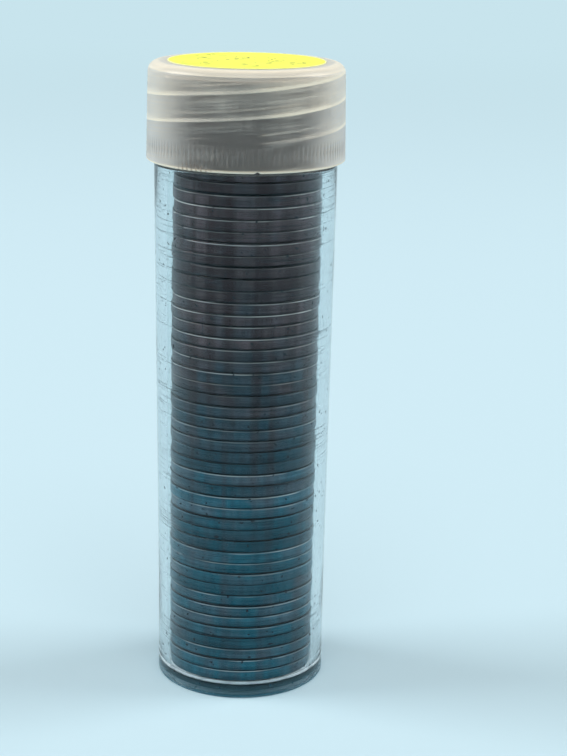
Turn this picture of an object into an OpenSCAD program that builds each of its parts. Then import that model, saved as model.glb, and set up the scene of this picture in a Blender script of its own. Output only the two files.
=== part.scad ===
// Coin tube: a clear straight tube with a two-start screw cap, a round label and a full stack of coins.
// Millimetres, +Z up. The origin is the centre of the tube's foot, on the surface that it stands on.

/* [Coins] */
// Diameter of a coin
coin_d = 19.05; // [16:0.05:24]
// Thickness of a coin at its raised rim
coin_t = 1.5; // [1.2:0.05:2]
// Number of coins in the stack
coin_count = 50; // [20:1:57]
// Width of a coin's raised rim
coin_rim_w = 0.9; // [0.5:0.1:1.5]
// Depth of a coin's field below its rim
coin_field_drop = 0.12; // [0.04:0.02:0.2]
// Radius of a coin's edge
coin_edge_r = 0.2; // [0.05:0.05:0.3]

/* [Tube] */
// Room round a coin at the bottom of the bore, on the radius
coin_gap = 0.28; // [0.2:0.02:0.6]
// Growth of the bore's radius from the floor to the rim
bore_draft = 0.3; // [0.1:0.05:0.4]
// Wall thickness at the foot
wall_t = 1.3; // [1.2:0.05:1.8]
// Growth of the outer radius from the straight foot to the shoulder
body_draft = 0.55; // [0.4:0.05:0.9]
// Height of the straight stretch at the foot
foot_h = 13.6; // [6:0.1:24]
// Thickness of the floor, foot recess included
floor_t = 1.95; // [1.4:0.05:3]
// Width of the ring that the tube stands on
foot_ring_w = 2.2; // [1.2:0.1:4]
// Depth of the recess inside the foot ring
foot_recess_h = 0.5; // [0.4:0.05:0.8]
// Radius of the foot's outer edge
foot_edge_r = 0.3; // [0.2:0.05:0.8]
// Diameter of the moulding gate mark in the recess
gate_d = 2.6; // [1:0.1:4]
// Height of the gate mark's end above the standing surface
gate_clear = 0.2; // [0.1:0.05:0.3]
// Room between the top coin and the cap's underside
head_gap = 3.6; // [1:0.1:3.8]

/* [Neck and thread] */
// Wall thickness of the neck at its top, between the ridges
neck_wall_t = 0.82; // [0.7:0.02:1]
// Height of a thread ridge above its wall
ridge_h = 0.55; // [0.4:0.05:0.6]
// Width of a thread ridge at its root
ridge_root_w = 1.3; // [1:0.05:1.4]
// Width of a thread ridge at its tip
ridge_tip_w = 0.6; // [0.4:0.05:0.7]
// Rise of the thread in one turn
thread_lead = 6.4; // [6:0.1:6.8]
// Number of thread starts
thread_starts = 2; // [1:1:2]
// Turns that one ridge of the neck makes
neck_ridge_turns = 1.05; // [0.5:0.05:1.1]
// Turns that one ridge of the cap makes
cap_ridge_turns = 1.1; // [0.5:0.05:1.1]
// Angle at which the cap's first ridge begins
ridge_deg = -90; // [-180:5:180]
// Height of a neck ridge's beginning above the cap's lower edge
neck_ridge_z = 3.15; // [1.2:0.05:3.3]
// Height of a cap ridge's beginning above the cap's lower edge
cap_ridge_z = 3.9; // [2:0.1:4]

/* [Cap] */
// Clearance between ridge tips and the wall that they face, on the radius
thread_gap = 0.15; // [0.1:0.01:0.2]
// Clearance between the flanks of the two threads, along the axis
flank_gap = 0.12; // [0.08:0.01:0.3]
// Clearance between the tube's rim and the cap's underside
seat_gap = 0.1; // [0.05:0.01:0.3]
// Clearance between the tube's shoulder and the cap's lower edge
shoulder_gap = 0.35; // [0.2:0.05:0.8]
// Height of the cap
cap_h = 12.24; // [12:0.02:14]
// Thickness of the cap's top plate
cap_top_t = 1.25; // [1.1:0.05:1.6]
// Thickness of the skirt at its lower edge
skirt_t = 1; // [0.9:0.02:1.4]
// How much the skirt's outer radius shrinks to the shoulder
skirt_draft = 0.2; // [0.05:0.05:0.3]
// Radius of the cap's rounded shoulder
shoulder_r = 1.3; // [0.6:0.1:1.4]
// Radius of small moulded edges
edge_r = 0.2; // [0.1:0.05:0.25]

/* [Label] */
// Diameter of the round label
label_d = 19.92; // [12:0.02:21]
// Thickness of the label
label_t = 0.1; // [0.05:0.01:0.2]

/* [Hidden] */
fine = 96;
small_arc = 32;
ridge_steps_per_turn = 48;
ridge_ease_steps = 4;
ridge_end_share = 0.35;
ridge_bury_share = 0.72;
coin_turn_deg = 137.5;
coin_lean_share = 0.7;
coin_lean_power = 1.5;
coin_sway_share = 0.2;
overrun = coin_d;

function pad(i) = str(i < 10 ? "0" : "", i);
function coin_name(i) = str("coin_", pad(i));

coin_r = coin_d / 2;
bore_r = coin_r + coin_gap;
foot_r = bore_r + wall_t;
body_r = foot_r + body_draft;
rim_bore_r = bore_r + bore_draft;
neck_r = rim_bore_r + neck_wall_t;
stack_h = coin_t * coin_count;
under_z = floor_t + stack_h + head_gap;
rim_z = under_z - seat_gap;
cap_top_z = under_z + cap_top_t;
cap_z = cap_top_z - cap_h;
shoulder_z = cap_z - shoulder_gap;
skirt_in_r = neck_r + ridge_h + thread_gap;
skirt_r = skirt_in_r + skirt_t;
crown_r = skirt_r - skirt_draft;
thread_room = ridge_h + thread_gap;
flank_w = ridge_root_w - (ridge_root_w - ridge_tip_w) / 2 * thread_room / ridge_h;
thread_shift = flank_w + flank_gap;
neck_ridge_deg = ridge_deg + 360 * (neck_ridge_z - cap_ridge_z - thread_shift) / thread_lead;

// Radius of the bore at a height
function bore_at(z) = bore_r + bore_draft * (z - floor_t) / (rim_z - floor_t);

// Place of a coin: the stack leans to one side towards its top, and each coin lies a little off its neighbours
function coin_at(i) =
    let (z = floor_t + coin_t * (i - 1),
         room = bore_at(z) - coin_r,
         lean = coin_lean_share * room * pow((i - 1) / coin_count, coin_lean_power),
         sway = i == 1 ? 0 : coin_sway_share * room)
    [lean + sway * cos(i * coin_turn_deg), sway * sin(i * coin_turn_deg), z];

// Takes a convex corner off a profile; sx and sz point out of the corner
module corner_off(r, sx, sz) {
    difference() {
        translate([sx > 0 ? -r : -overrun, sz > 0 ? -r : -overrun])
            square(r + overrun);
        translate([-sx * r, -sz * r])
            circle(r = r, $fn = small_arc);
    }
}

// A thread ridge: a four-sided section that climbs round the axis and eases in at both ends
module ridge(root_r, tip_r, from_deg, from_z, turns) {
    steps = ceil(turns * ridge_steps_per_turn);
    back_r = root_r + ridge_bury_share * (root_r - tip_r);
    grow = [for (i = [0:steps]) ridge_end_share
        + (1 - ridge_end_share) * min(1, i / ridge_ease_steps, (steps - i) / ridge_ease_steps)];
    points = [for (i = [0:steps])
        let (a = from_deg + 360 * turns * i / steps,
             z = from_z + thread_lead * turns * i / steps,
             t = root_r + (tip_r - root_r) * grow[i],
             wide = ridge_root_w / 2 * grow[i],
             slim = ridge_tip_w / 2 * grow[i])
        for (q = [[back_r, -wide], [t, -slim], [t, slim], [back_r, wide]])
            [q[0] * cos(a), q[0] * sin(a), z + q[1]]];
    sides = [for (i = [0:steps - 1], k = [0:3], half = [0:1])
        let (a = 4 * i + k, b = 4 * i + (k + 1) % 4)
        half == 0 ? [a, b, b + 4] : [a, b + 4, a + 4]];
    last = 4 * steps;
    ends = concat([for (k = [1:2]) [0, k + 1, k]], [for (k = [1:2]) [last, last + k, last + k + 1]]);
    faces = concat(sides, ends);
    polyhedron(points, tip_r < root_r ? [for (f = faces) [f[2], f[1], f[0]]] : faces);
}

module tube_body() {
    rotate_extrude($fn = fine)
        difference() {
            polygon([[0, 0], [foot_r, 0], [foot_r, foot_h], [body_r, shoulder_z - edge_r],
                     [body_r, shoulder_z], [neck_r, shoulder_z], [neck_r, rim_z], [0, rim_z]]);
            polygon([[0, floor_t], [bore_r, floor_t], [rim_bore_r, rim_z], [rim_bore_r, rim_z + overrun],
                     [0, rim_z + overrun]]);
            translate([0, -overrun])
                square([foot_r - foot_ring_w, overrun + foot_recess_h]);
            translate([foot_r, 0])
                corner_off(foot_edge_r, 1, -1);
            translate([body_r, shoulder_z])
                corner_off(edge_r, 1, 1);
            translate([neck_r, rim_z])
                corner_off(edge_r, 1, 1);
            translate([rim_bore_r, rim_z])
                corner_off(edge_r, -1, 1);
        }
}

module tube() {
    color("LightCyan", 0.45)
        union() {
            tube_body();
            translate([0, 0, gate_clear])
                cylinder(d = gate_d, h = (foot_recess_h + floor_t) / 2 - gate_clear, $fn = fine);
            for (s = [0:thread_starts - 1])
                ridge(neck_r, neck_r + ridge_h, neck_ridge_deg + 360 * s / thread_starts,
                      cap_z + neck_ridge_z, neck_ridge_turns);
        }
}

module cap_shell() {
    rotate_extrude($fn = fine)
        difference() {
            polygon([[0, cap_z], [skirt_r, cap_z], [skirt_r, cap_z + edge_r],
                     [crown_r, cap_top_z - shoulder_r], [crown_r, cap_top_z], [0, cap_top_z]]);
            translate([0, cap_z - overrun])
                square([skirt_in_r, overrun + cap_h - cap_top_t]);
            translate([skirt_r, cap_z])
                corner_off(edge_r, 1, -1);
            translate([crown_r, cap_top_z])
                corner_off(shoulder_r, 1, 1);
            translate([skirt_in_r, cap_z])
                corner_off(edge_r, -1, -1);
        }
}

module cap() {
    color("WhiteSmoke", 0.7)
        union() {
            cap_shell();
            for (s = [0:thread_starts - 1])
                ridge(skirt_in_r, skirt_in_r - ridge_h, ridge_deg + 360 * s / thread_starts,
                      cap_z + cap_ridge_z, cap_ridge_turns);
        }
}

module label() {
    color("Yellow")
        translate([0, 0, cap_top_z])
            cylinder(d = label_d, h = label_t, $fn = fine);
}

module coin(i) {
    color("SlateGray")
        translate(coin_at(i))
            rotate_extrude($fn = fine)
                difference() {
                    square([coin_r, coin_t]);
                    translate([0, coin_t - coin_field_drop])
                        square([coin_r - coin_rim_w, overrun]);
                    translate([0, coin_field_drop - overrun])
                        square([coin_r - coin_rim_w, overrun]);
                    translate([coin_r, coin_t])
                        corner_off(coin_edge_r, 1, 1);
                    translate([coin_r, 0])
                        corner_off(coin_edge_r, 1, -1);
                }
}

tube();
cap();
label();
for (i = [1:coin_count]) coin(i);
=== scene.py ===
import math
import random

import bmesh
import bpy
from mathutils import Matrix, Vector


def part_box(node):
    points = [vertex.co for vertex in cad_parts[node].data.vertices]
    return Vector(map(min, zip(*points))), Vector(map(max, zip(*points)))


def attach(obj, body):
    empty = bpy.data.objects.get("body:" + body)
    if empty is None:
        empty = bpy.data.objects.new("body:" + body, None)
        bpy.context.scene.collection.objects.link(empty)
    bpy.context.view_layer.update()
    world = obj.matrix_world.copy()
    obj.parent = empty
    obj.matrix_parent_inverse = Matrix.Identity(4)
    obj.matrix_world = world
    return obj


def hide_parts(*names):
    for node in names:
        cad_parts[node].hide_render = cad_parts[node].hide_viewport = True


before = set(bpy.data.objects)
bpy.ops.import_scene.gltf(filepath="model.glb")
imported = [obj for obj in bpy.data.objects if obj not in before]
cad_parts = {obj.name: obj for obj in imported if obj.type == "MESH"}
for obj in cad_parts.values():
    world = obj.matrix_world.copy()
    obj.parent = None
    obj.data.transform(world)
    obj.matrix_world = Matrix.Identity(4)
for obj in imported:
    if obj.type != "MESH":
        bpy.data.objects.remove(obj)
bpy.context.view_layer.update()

bl_info = {
    "name": "Coin Tube",
    "version": (1, 0, 0),
    "blender": (4, 5, 0),
    "location": "3D View > Sidebar > Coin Tube",
    "description": "Clear coin tube with a screw cap, a round label and a full stack of coins",
    "category": "Object",
}

# Places that the frame gives, in metres
TUBE_LOW, TUBE_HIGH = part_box("tube")
CAP_LOW, CAP_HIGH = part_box("cap")
LABEL_LOW, LABEL_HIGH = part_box("label")
COINS = sorted(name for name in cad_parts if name.startswith("coin_"))
COIN_LOW, COIN_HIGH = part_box(COINS[0])
BODY_RADIUS = (TUBE_HIGH[0] - TUBE_LOW[0]) / 2
SKIRT_RADIUS = (CAP_HIGH[0] - CAP_LOW[0]) / 2
COIN_RADIUS = (COIN_HIGH[0] - COIN_LOW[0]) / 2
COIN_THICKNESS = COIN_HIGH[2] - COIN_LOW[2]
FLOOR_TOP = COIN_LOW[2]
RIM_HEIGHT = TUBE_HIGH[2]
CAP_BOTTOM = CAP_LOW[2]
CAP_TOP = CAP_HIGH[2]
FULL_TURN = 2 * math.pi

# The coins' relief: how flat a bead is, a leaf's proportions, and how far two leaves lean
BEAD_FLATNESS_SHARE = 0.4
LEAF_SHARES = (0.5, 0.16, 0.045)
LEAF_LEAN = (math.radians(62), math.radians(118))

# Half the width of the nick in the cap's lower edge
NICK_WIDTH = math.radians(1.8)

# Steps of the turned profiles: round small edges, and along the stretches that a thread or ribs deform
EDGE_STEPS = 6
FOOT_EDGE_STEPS = 10
BODY_STEPS = 8
NECK_STEPS = 220
BORE_STEPS = 24
PLATE_EDGE_STEPS = 4
SKIRT_STEPS = 84
SKIRT_EDGE_STEPS = 5
RIB_STEPS = 10
WALL_STEPS = 16
SHOULDER_STEPS = 14
PAPER_EDGE_STEPS = 3
COIN_EDGE_STEPS = 4

# Angles between faces from which an edge stays sharp
TUBE_CREASE = math.radians(35)
CAP_CREASE = math.radians(50)
PAPER_CREASE = math.radians(40)
COIN_CREASE = math.radians(40)

# Depths of the fine surface relief, in metres
SLOW_RELIEF = 0.0008
GLINT_RELIEF = 0.0002
SCRATCH_RELIEF = 0.00003
FIBRE_RELIEF = 0.00002

# Where soft borders begin and end, in metres from the floor, the plate's border and the paper's edge
FLOOR_BORDER = 0.00003
PLATE_BORDER = (0.00006, 0.00004)
CUT_BORDER = (0.00022, 0.00008)

# Painted highlight on the cap's wall from the lower flank of an inner ridge to the next, partly the paler
# thick plastic of a ridge: place and value; the faint one paints the neck's ridges seen through the cap
RIDGE_GLOW = [(0.0, 0.0), (0.02, 1.0), (0.08, 0.8), (0.15, 0.36), (0.3, 0.16), (0.6, 0.08), (1.0, 0.0)]
FAINT_GLOW = [(0.0, 0.0), (0.55, 0.0), (0.6, 0.22), (0.64, 0.06), (0.84, 0.05), (0.88, 0.16), (0.92, 0.0)]

# The camera's sensor in millimetres and nearest distance, where the lamps aim, and the air's light
SENSOR = 36.0
CLIP_NEAR = 0.01
AIM = Vector((0.0, 0.0, 0.05))
WORLD_LEVEL = 0.38

# Lamps: name, place, width and depth in metres, and power in watts
LAMPS = [
    ("overhead_softbox", (0.2, -2.3, 5.0), 4.0, 4.0, 104.0),
    ("left_softbox", (-1.20, 0.12, 0.80), 0.72, 0.96, 13.0),
    ("right_softbox", (1.20, 0.19, 0.80), 0.72, 0.96, 11.5),
]


def length(name, description, default):
    """A size in metres."""
    return bpy.props.FloatProperty(
        name=name,
        description=description,
        default=default,
        min=0.0,
        precision=6,
        unit="LENGTH",
        subtype="DISTANCE",
    )


def angle(name, description, default):
    """An angle, given in degrees and kept in radians."""
    return bpy.props.FloatProperty(
        name=name,
        description=description,
        default=math.radians(default),
        unit="ROTATION",
        subtype="ANGLE",
    )


def count(name, description, default):
    """A whole number from 1 up."""
    return bpy.props.IntProperty(name=name, description=description, default=default, min=1)


def number(name, description, default):
    """A number from 0 up, without a unit."""
    return bpy.props.FloatProperty(name=name, description=description, default=default, min=0.0)


def share(name, description, default):
    """A share of a whole, or a number of turns."""
    return bpy.props.FloatProperty(name=name, description=description, default=default, subtype="FACTOR")


def colour(name, description, default):
    """A colour as an sRGB hex value."""
    return bpy.props.StringProperty(name=name, description=description, default=default)


class TubeSettings(bpy.types.PropertyGroup):
    bore_gap: length("Bore gap", "Room round a coin at the bottom of the bore", 0.00028)
    bore_draft: length("Bore draft", "Growth of the bore's radius up to the rim", 0.0003)
    wall: length("Wall", "Wall thickness at the foot", 0.0013)
    neck_wall: length("Neck wall", "Wall thickness of the neck at the rim", 0.00082)
    foot_height: length("Foot height", "Height of the straight stretch at the foot", 0.0136)
    foot_ring: length("Foot ring", "Width of the ring that the tube stands on", 0.0022)
    foot_recess: length("Foot recess", "Depth of the recess inside the ring", 0.0005)
    foot_edge: length("Foot edge", "Radius of the foot's outer edge", 0.0003)
    gate_radius: length("Gate radius", "Radius of the moulding gate mark", 0.0013)
    gate_clear: length("Gate height", "Height of the gate mark's end above the floor", 0.0002)
    shoulder_gap: length("Shoulder gap", "Clearance below the cap's lower edge", 0.00035)
    edge: length("Edge", "Radius of the small moulded edges", 0.0002)
    corner: length("Inner corner", "Radius of the corner between floor and bore", 0.0002)
    channel: length("Channel", "Depth of the channel round the floor", 0.0004)
    segments: count("Segments", "Faces round the tube", 256)
    refraction: number("Refraction", "Refractive index of the plastic", 1.59)
    mirror: colour(
        "Mirror", "Tint of reflections seen face on, dark so that the coins stay dark", "#5C6468"
    )
    tint: colour("Tint", "Colour of the clear plastic", "#F6FAFB")
    # Depth is also the colour of the painted shade in the recess under the floor
    depth: colour("Depth", "Colour of the plastic in great thickness", "#4E9AA8")
    absorption: number("Absorption", "How fast the plastic darkens with thickness, per metre", 70.0)
    haze: colour("Haze", "Colour of rubbed marks", "#4A565C")
    # Scuff is the scuffed standing ring's colour and the colour of the painted shade on the foot
    scuff_and_shade: colour("Scuff", "Colour of the scuffed foot", "#2C8096")
    dust: colour("Dust", "Colour of dust specks", "#2B3136")
    # Glint is the colour of the painted highlights in the corner of the floor and on the ledge under the
    # cap
    glint: colour("Glint", "Colour of the bright corner of the floor", "#FBFEFF")
    passed: colour("Passed", "Light that a wall lets through", "#E7EAED")
    held: colour("Held", "Light that the thick foot lets through", "#7C868C")


class ThreadSettings(bpy.types.PropertyGroup):
    lead: length("Lead", "Rise of the thread in one turn", 0.0064)
    starts: count("Starts", "Number of thread starts", 2)
    height: length("Height", "Height of a ridge above its wall", 0.00055)
    root: length("Root width", "Width of a ridge at its root", 0.0013)
    tip: length("Tip width", "Width of a ridge at its tip", 0.0006)
    gap: length("Gap", "Clearance between ridge tips and the facing wall", 0.00015)
    flank_gap: length("Flank gap", "Clearance between the flanks along the axis", 0.00012)
    first: angle("First angle", "Angle at which the cap's first ridge begins", -90)
    cap_start: length("Cap start", "Height of a cap ridge's beginning above the cap's edge", 0.0039)
    neck_start: length("Neck start", "Height of a neck ridge's beginning above the cap's edge", 0.00315)
    cap_turns: share("Cap turns", "Turns that one ridge of the cap makes", 1.22)
    neck_turns: share("Neck turns", "Turns that one ridge of the neck makes", 1.05)
    ease: share("Ease", "Part of a turn over which a ridge's ends run out", 0.06)


class CapSettings(bpy.types.PropertyGroup):
    plate: length("Plate", "Thickness of the top plate", 0.00125)
    skirt: length("Skirt", "Thickness of the skirt at its lower edge", 0.001)
    draft: length("Draft", "How much the skirt shrinks to the shoulder", 0.0002)
    shoulder: length("Shoulder", "Radius of the rounded shoulder", 0.0013)
    edge: length("Edge", "Radius of the lower edge", 0.0002)
    ribs: count("Ribs", "Fine grip ribs round the skirt", 120)
    rib_height: length("Rib height", "Height of a grip rib", 0.0001)
    rib_low: length("Rib low end", "Lower end of the ribbed band above the edge", 0.0005)
    rib_high: length("Rib high end", "Upper end of the ribbed band above the edge", 0.0034)
    ribs_per_segment: count("Faces a rib", "Faces round the cap for each rib", 4)
    nick_angle: angle("Nick angle", "Where the lower edge is nicked", -83.5)
    nick_depth: length("Nick depth", "Depth of the nick in the lower edge", 0.00022)
    refraction: number("Refraction", "Refractive index of the plastic", 1.51)
    # Pale is also the colour of the painted highlights on the ridges, the shoulder and the lower edge
    pale: colour("Pale", "Colour where the plastic is thick", "#F2E6D0")
    grey: colour("Grey", "Colour where the wall is thin", "#E5E5E3")
    through: colour("Through", "Tint of what is seen through the wall", "#F5EEE9")
    passed: colour("Passed", "Light that the wall lets through", "#CBCBCA")
    thin_angle: angle("Thin angle", "Where the wall came out a little thinner and clearer", -106)
    thin_reach: length("Thin reach", "How far that stretch reaches", 0.01)
    grime_angle: angle("Grime angle", "Where old grime sits between the ribs", -121)
    grime_reach: length("Grime reach", "How far that grime reaches", 0.003)
    grime: colour("Grime", "Colour of old grime between the ribs", "#7A5F42")
    # Groove is the colour of the painted shade in the grooves between the ribs
    groove: colour("Groove", "Colour in the grooves between the ribs", "#6B6864")


class LabelSettings(bpy.types.PropertyGroup):
    curl: length("Curl", "How far the paper's edge lifts", 0.00003)
    segments: count("Segments", "Faces round the label", 192)
    paper: colour("Paper", "Fluorescent paper", "#F6F860")
    rubbed: colour("Rubbed", "Paper where it is rubbed", "#E9EE55")
    mark: colour("Mark", "Specks of dirt on the paper", "#4C5429")
    core: colour("Core", "The paper's pale cut edge", "#FBFDC8")


class CoinSettings(bpy.types.PropertyGroup):
    rim: length("Rim", "Width of the raised rim", 0.0009)
    field_drop: length("Field drop", "Depth of the field below the rim", 0.00012)
    edge_least: length("Sharpest edge", "Radius of a fresh coin's upper edge", 0.00006)
    edge_most: length("Softest edge", "Radius of a worn coin's upper edge", 0.00016)
    beads: count("Beads", "Beads inside the rim", 72)
    bead_radius: length("Bead radius", "Radius of a bead", 0.00016)
    bead_inset: length("Bead inset", "Distance of the beads from the rim", 0.00034)
    leaves: count("Leaves", "Leaves of the wreath on each face", 40)
    leaf_length: length("Leaf length", "Length of a leaf", 0.0016)
    wreath_radius: length("Wreath radius", "Radius of the wreath", 0.0063)
    petals: count("Petals", "Petals of the rosette in the middle", 8)
    rosette_radius: length("Rosette radius", "Radius of the rosette", 0.0021)
    segments: count("Segments", "Faces round a coin", 128)
    seed: count("Seed", "Seed of the coins' small differences", 7)
    slate: colour("Slate", "Dull zinc coat", "#5E5052")
    # Blue is also the colour of the painted reflection on the lower coins
    blue: colour("Blue", "Zinc with blue-grey toning", "#245A68")
    brown: colour("Brown", "Zinc with brown toning", "#463839")
    # Bare is also the colour of the painted highlight along the upper rims
    bare: colour("Bare", "Zinc rubbed bright on the rims", "#DAD2CB")
    # The painted shade in the gaps between the coins
    gap_shade: colour("Dark", "Grime between the coins", "#07090B")


class StageSettings(bpy.types.PropertyGroup):
    eye_distance: length("Eye distance", "Distance of the camera from the tube's axis", 0.232883)
    eye_height: length("Eye height", "Height of the camera above the floor", 0.105797)
    pitch: angle("Pitch", "How far the camera looks down", 15.6284)
    yaw: angle("Yaw", "How far the camera looks to the right", 1.2962)
    roll: angle("Roll", "How far the camera leans", 1.0143)
    focal_pixels: number("Focal length in pixels", "Focal length over the height of a pixel", 1842.81)
    frame_pixels: count("Frame height", "Height of the picture in pixels", 756)
    floor_size: length("Floor size", "Width of the floor", 10.0)
    floor_colour: colour("Floor", "Pale floor", "#C2DBE4")
    backdrop: colour("Backdrop", "What the eye sees of the far floor and the room", "#C8E4ED")
    fade_start: length("Fade start", "Where the lit floor begins to turn into the backdrop", 0.25)
    fade_end: length("Fade end", "Where the backdrop is complete", 0.9)
    air_colour: colour("Air", "Colour of the light all round", "#F2F3F4")
    floor_drop: length("Floor drop", "Gap between the tube's foot and the floor", 0.00002)


SETTINGS = {
    "coin_tube": TubeSettings,
    "coin_tube_thread": ThreadSettings,
    "coin_tube_cap": CapSettings,
    "coin_tube_label": LabelSettings,
    "coin_tube_coins": CoinSettings,
    "coin_tube_stage": StageSettings,
}


def linear(hex_value):
    """An sRGB hex value as a linear colour."""
    parts = [int(hex_value[i : i + 2], 16) / 255 for i in (1, 3, 5)]
    return [p / 12.92 if p <= 0.04045 else ((p + 0.055) / 1.055) ** 2.4 for p in parts] + [1.0]


def add(tree, kind, sockets=None, **settings):
    """Adds a node, sets its properties, and sets or links its inputs by name or number.

    An input is linked when its value is a socket, or a node, which then gives its first output.
    """
    node = tree.nodes.new(kind)
    for key, value in settings.items():
        setattr(node, key, value)
    for key, value in (sockets or {}).items():
        if isinstance(value, bpy.types.Node):
            value = value.outputs[0]
        if isinstance(value, bpy.types.NodeSocket):
            tree.links.new(value, node.inputs[key])
        else:
            node.inputs[key].default_value = value
    return node


def new_material(name):
    """An empty node material and its output node."""
    material = bpy.data.materials.new(name)
    material.use_nodes = True
    material.node_tree.nodes.clear()
    return material, add(material.node_tree, "ShaderNodeOutputMaterial")


def arc(centre, radius, start, end, steps):
    """Points along a circle in the profile's plane; angles in degrees, 0 outwards and 90 up."""
    angles = [math.radians(start + (end - start) * i / steps) for i in range(steps + 1)]
    return [(centre[0] + radius * math.cos(a), centre[1] + radius * math.sin(a)) for a in angles]


def stretch(start, end, steps):
    """Points between two places in the profile's plane, both ends included."""
    return [
        (start[0] + (end[0] - start[0]) * i / steps, start[1] + (end[1] - start[1]) * i / steps)
        for i in range(steps + 1)
    ]


def lathe(name, profile, segments, weights=None):
    """A closed mesh turned from a profile that starts and ends on the axis, with the solid on its left.

    weights maps an attribute's name to one number for each point of the profile.
    """
    mesh = bpy.data.meshes.new(name)
    form = bmesh.new()
    layers = {key: form.verts.layers.float.new(key) for key in (weights or {})}
    rings = []
    for index, (radius, height) in enumerate(profile):
        if radius <= 0:
            ring = [form.verts.new((0.0, 0.0, height))]
        else:
            angles = [FULL_TURN * i / segments for i in range(segments)]
            ring = [form.verts.new((radius * math.cos(a), radius * math.sin(a), height)) for a in angles]
        for key, layer in layers.items():
            for vertex in ring:
                vertex[layer] = weights[key][index]
        rings.append(ring)
    for low, high in zip(rings, rings[1:]):
        for i in range(segments):
            j = (i + 1) % segments
            corners = [low[i % len(low)], low[j % len(low)], high[j % len(high)], high[i % len(high)]]
            unique = list(dict.fromkeys(corners))
            if len(unique) > 2:
                form.faces.new(unique)
    bmesh.ops.recalc_face_normals(form, faces=form.faces)
    form.to_mesh(mesh)
    form.free()
    mesh.polygons.foreach_set("use_smooth", [True] * len(mesh.polygons))
    return mesh


def shown(name, mesh, material):
    """A new object for a finished mesh."""
    piece = bpy.data.objects.new(name, mesh)
    bpy.context.scene.collection.objects.link(piece)
    mesh.materials.append(material)
    return piece


def baked(piece, tree, inputs, sharp=None):
    """Runs a geometry tree on a piece, keeps the result as its plain mesh and takes the modifier off."""
    modifier = piece.modifiers.new(tree.name, "NODES")
    modifier.node_group = tree
    sockets = {item.name: item.identifier for item in tree.interface.items_tree if item.in_out == "INPUT"}
    for key, value in inputs.items():
        modifier[sockets[key]] = value
    graph = bpy.context.evaluated_depsgraph_get()
    result = bpy.data.meshes.new_from_object(piece.evaluated_get(graph), depsgraph=graph)
    piece.modifiers.remove(modifier)
    old = piece.data
    piece.data = result
    result.name = old.name
    bpy.data.meshes.remove(old)
    if sharp is not None:
        result.set_sharp_from_angle(angle=sharp)
    return piece


def new_tree(name, inputs):
    """A geometry tree with named inputs, and its input and output nodes."""
    tree = bpy.data.node_groups.new(name, "GeometryNodeTree")
    tree.interface.new_socket("Geometry", in_out="OUTPUT", socket_type="NodeSocketGeometry")
    tree.interface.new_socket("Geometry", in_out="INPUT", socket_type="NodeSocketGeometry")
    for key, kind in inputs.items():
        tree.interface.new_socket(key, in_out="INPUT", socket_type=kind)
    return tree, add(tree, "NodeGroupInput"), add(tree, "NodeGroupOutput")


def finish_tree(tree, geometry, material, output):
    """Realizes instances and sets the material, as the tree's last two steps."""
    real = add(tree, "GeometryNodeRealizeInstances", {0: geometry})
    finish = add(tree, "GeometryNodeSetMaterial", {"Geometry": real.outputs[0], "Material": material})
    tree.links.new(finish.outputs[0], output.inputs[0])


def thread_tree():
    """Pushes the points marked as threaded in or out along helical ridges."""
    sizes = [
        "Lead", "Pitch", "Height", "Root half", "Tip half", "Start height", "Start angle", "Turns", "Ease"
    ]
    tree, given, output = new_tree(
        "helical_thread_ridges",
        {**{key: "NodeSocketFloat" for key in sizes}, "Material": "NodeSocketMaterial"},
    )
    size = {key: given.outputs[key] for key in sizes}
    place = add(tree, "ShaderNodeSeparateXYZ", {0: add(tree, "GeometryNodeInputPosition")})
    x, y, z = place.outputs
    around = add(tree, "ShaderNodeMath", {0: y, 1: x}, operation="ARCTAN2")
    off = add(tree, "ShaderNodeMath", {0: around, 1: size["Start angle"]}, operation="SUBTRACT")
    turns = add(tree, "ShaderNodeMath", {0: off, 1: FULL_TURN}, operation="DIVIDE")
    climb = add(tree, "ShaderNodeMath", {0: turns, 1: size["Lead"]}, operation="MULTIPLY")
    above = add(tree, "ShaderNodeMath", {0: z, 1: size["Start height"]}, operation="SUBTRACT")
    rest = add(tree, "ShaderNodeMath", {0: above, 1: climb}, operation="SUBTRACT")
    strand = add(tree, "ShaderNodeMath", {0: rest, 1: size["Pitch"]}, operation="DIVIDE")
    nearest = add(tree, "ShaderNodeMath", {0: strand}, operation="ROUND")
    apart = add(tree, "ShaderNodeMath", {0: strand, 1: nearest}, operation="SUBTRACT")
    offset = add(tree, "ShaderNodeMath", {0: apart, 1: size["Pitch"]}, operation="MULTIPLY")
    distance = add(tree, "ShaderNodeMath", {0: offset}, operation="ABSOLUTE")
    section = add(
        tree,
        "ShaderNodeMapRange",
        {0: distance, 1: size["Root half"], 2: size["Tip half"], 3: 0.0, 4: 1.0},
        interpolation_type="SMOOTHSTEP",
    )
    middle = add(tree, "ShaderNodeMath", {0: above, 1: offset}, operation="SUBTRACT")
    along = add(tree, "ShaderNodeMath", {0: middle, 1: size["Lead"]}, operation="DIVIDE")
    left = add(tree, "ShaderNodeMath", {0: size["Turns"], 1: along}, operation="SUBTRACT")
    begin, end = [
        add(
            tree,
            "ShaderNodeMapRange",
            {0: way, 1: 0.0, 2: size["Ease"], 3: 0.0, 4: 1.0},
            interpolation_type="SMOOTHSTEP",
        )
        for way in (along, left)
    ]
    mark = add(tree, "GeometryNodeInputNamedAttribute", {"Name": "threaded"}, data_type="FLOAT")
    push = section
    for part in (begin, end, mark, size["Height"]):
        push = add(tree, "ShaderNodeMath", {0: push, 1: part}, operation="MULTIPLY")
    flat = add(tree, "ShaderNodeCombineXYZ", {0: x, 1: y})
    outward = add(tree, "ShaderNodeVectorMath", {0: flat}, operation="NORMALIZE")
    move = add(tree, "ShaderNodeVectorMath", {0: outward, "Scale": push}, operation="SCALE")
    moved = add(tree, "GeometryNodeSetPosition", {"Geometry": given.outputs["Geometry"], "Offset": move})
    finish_tree(tree, moved.outputs[0], given.outputs["Material"], output)
    return tree


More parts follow.
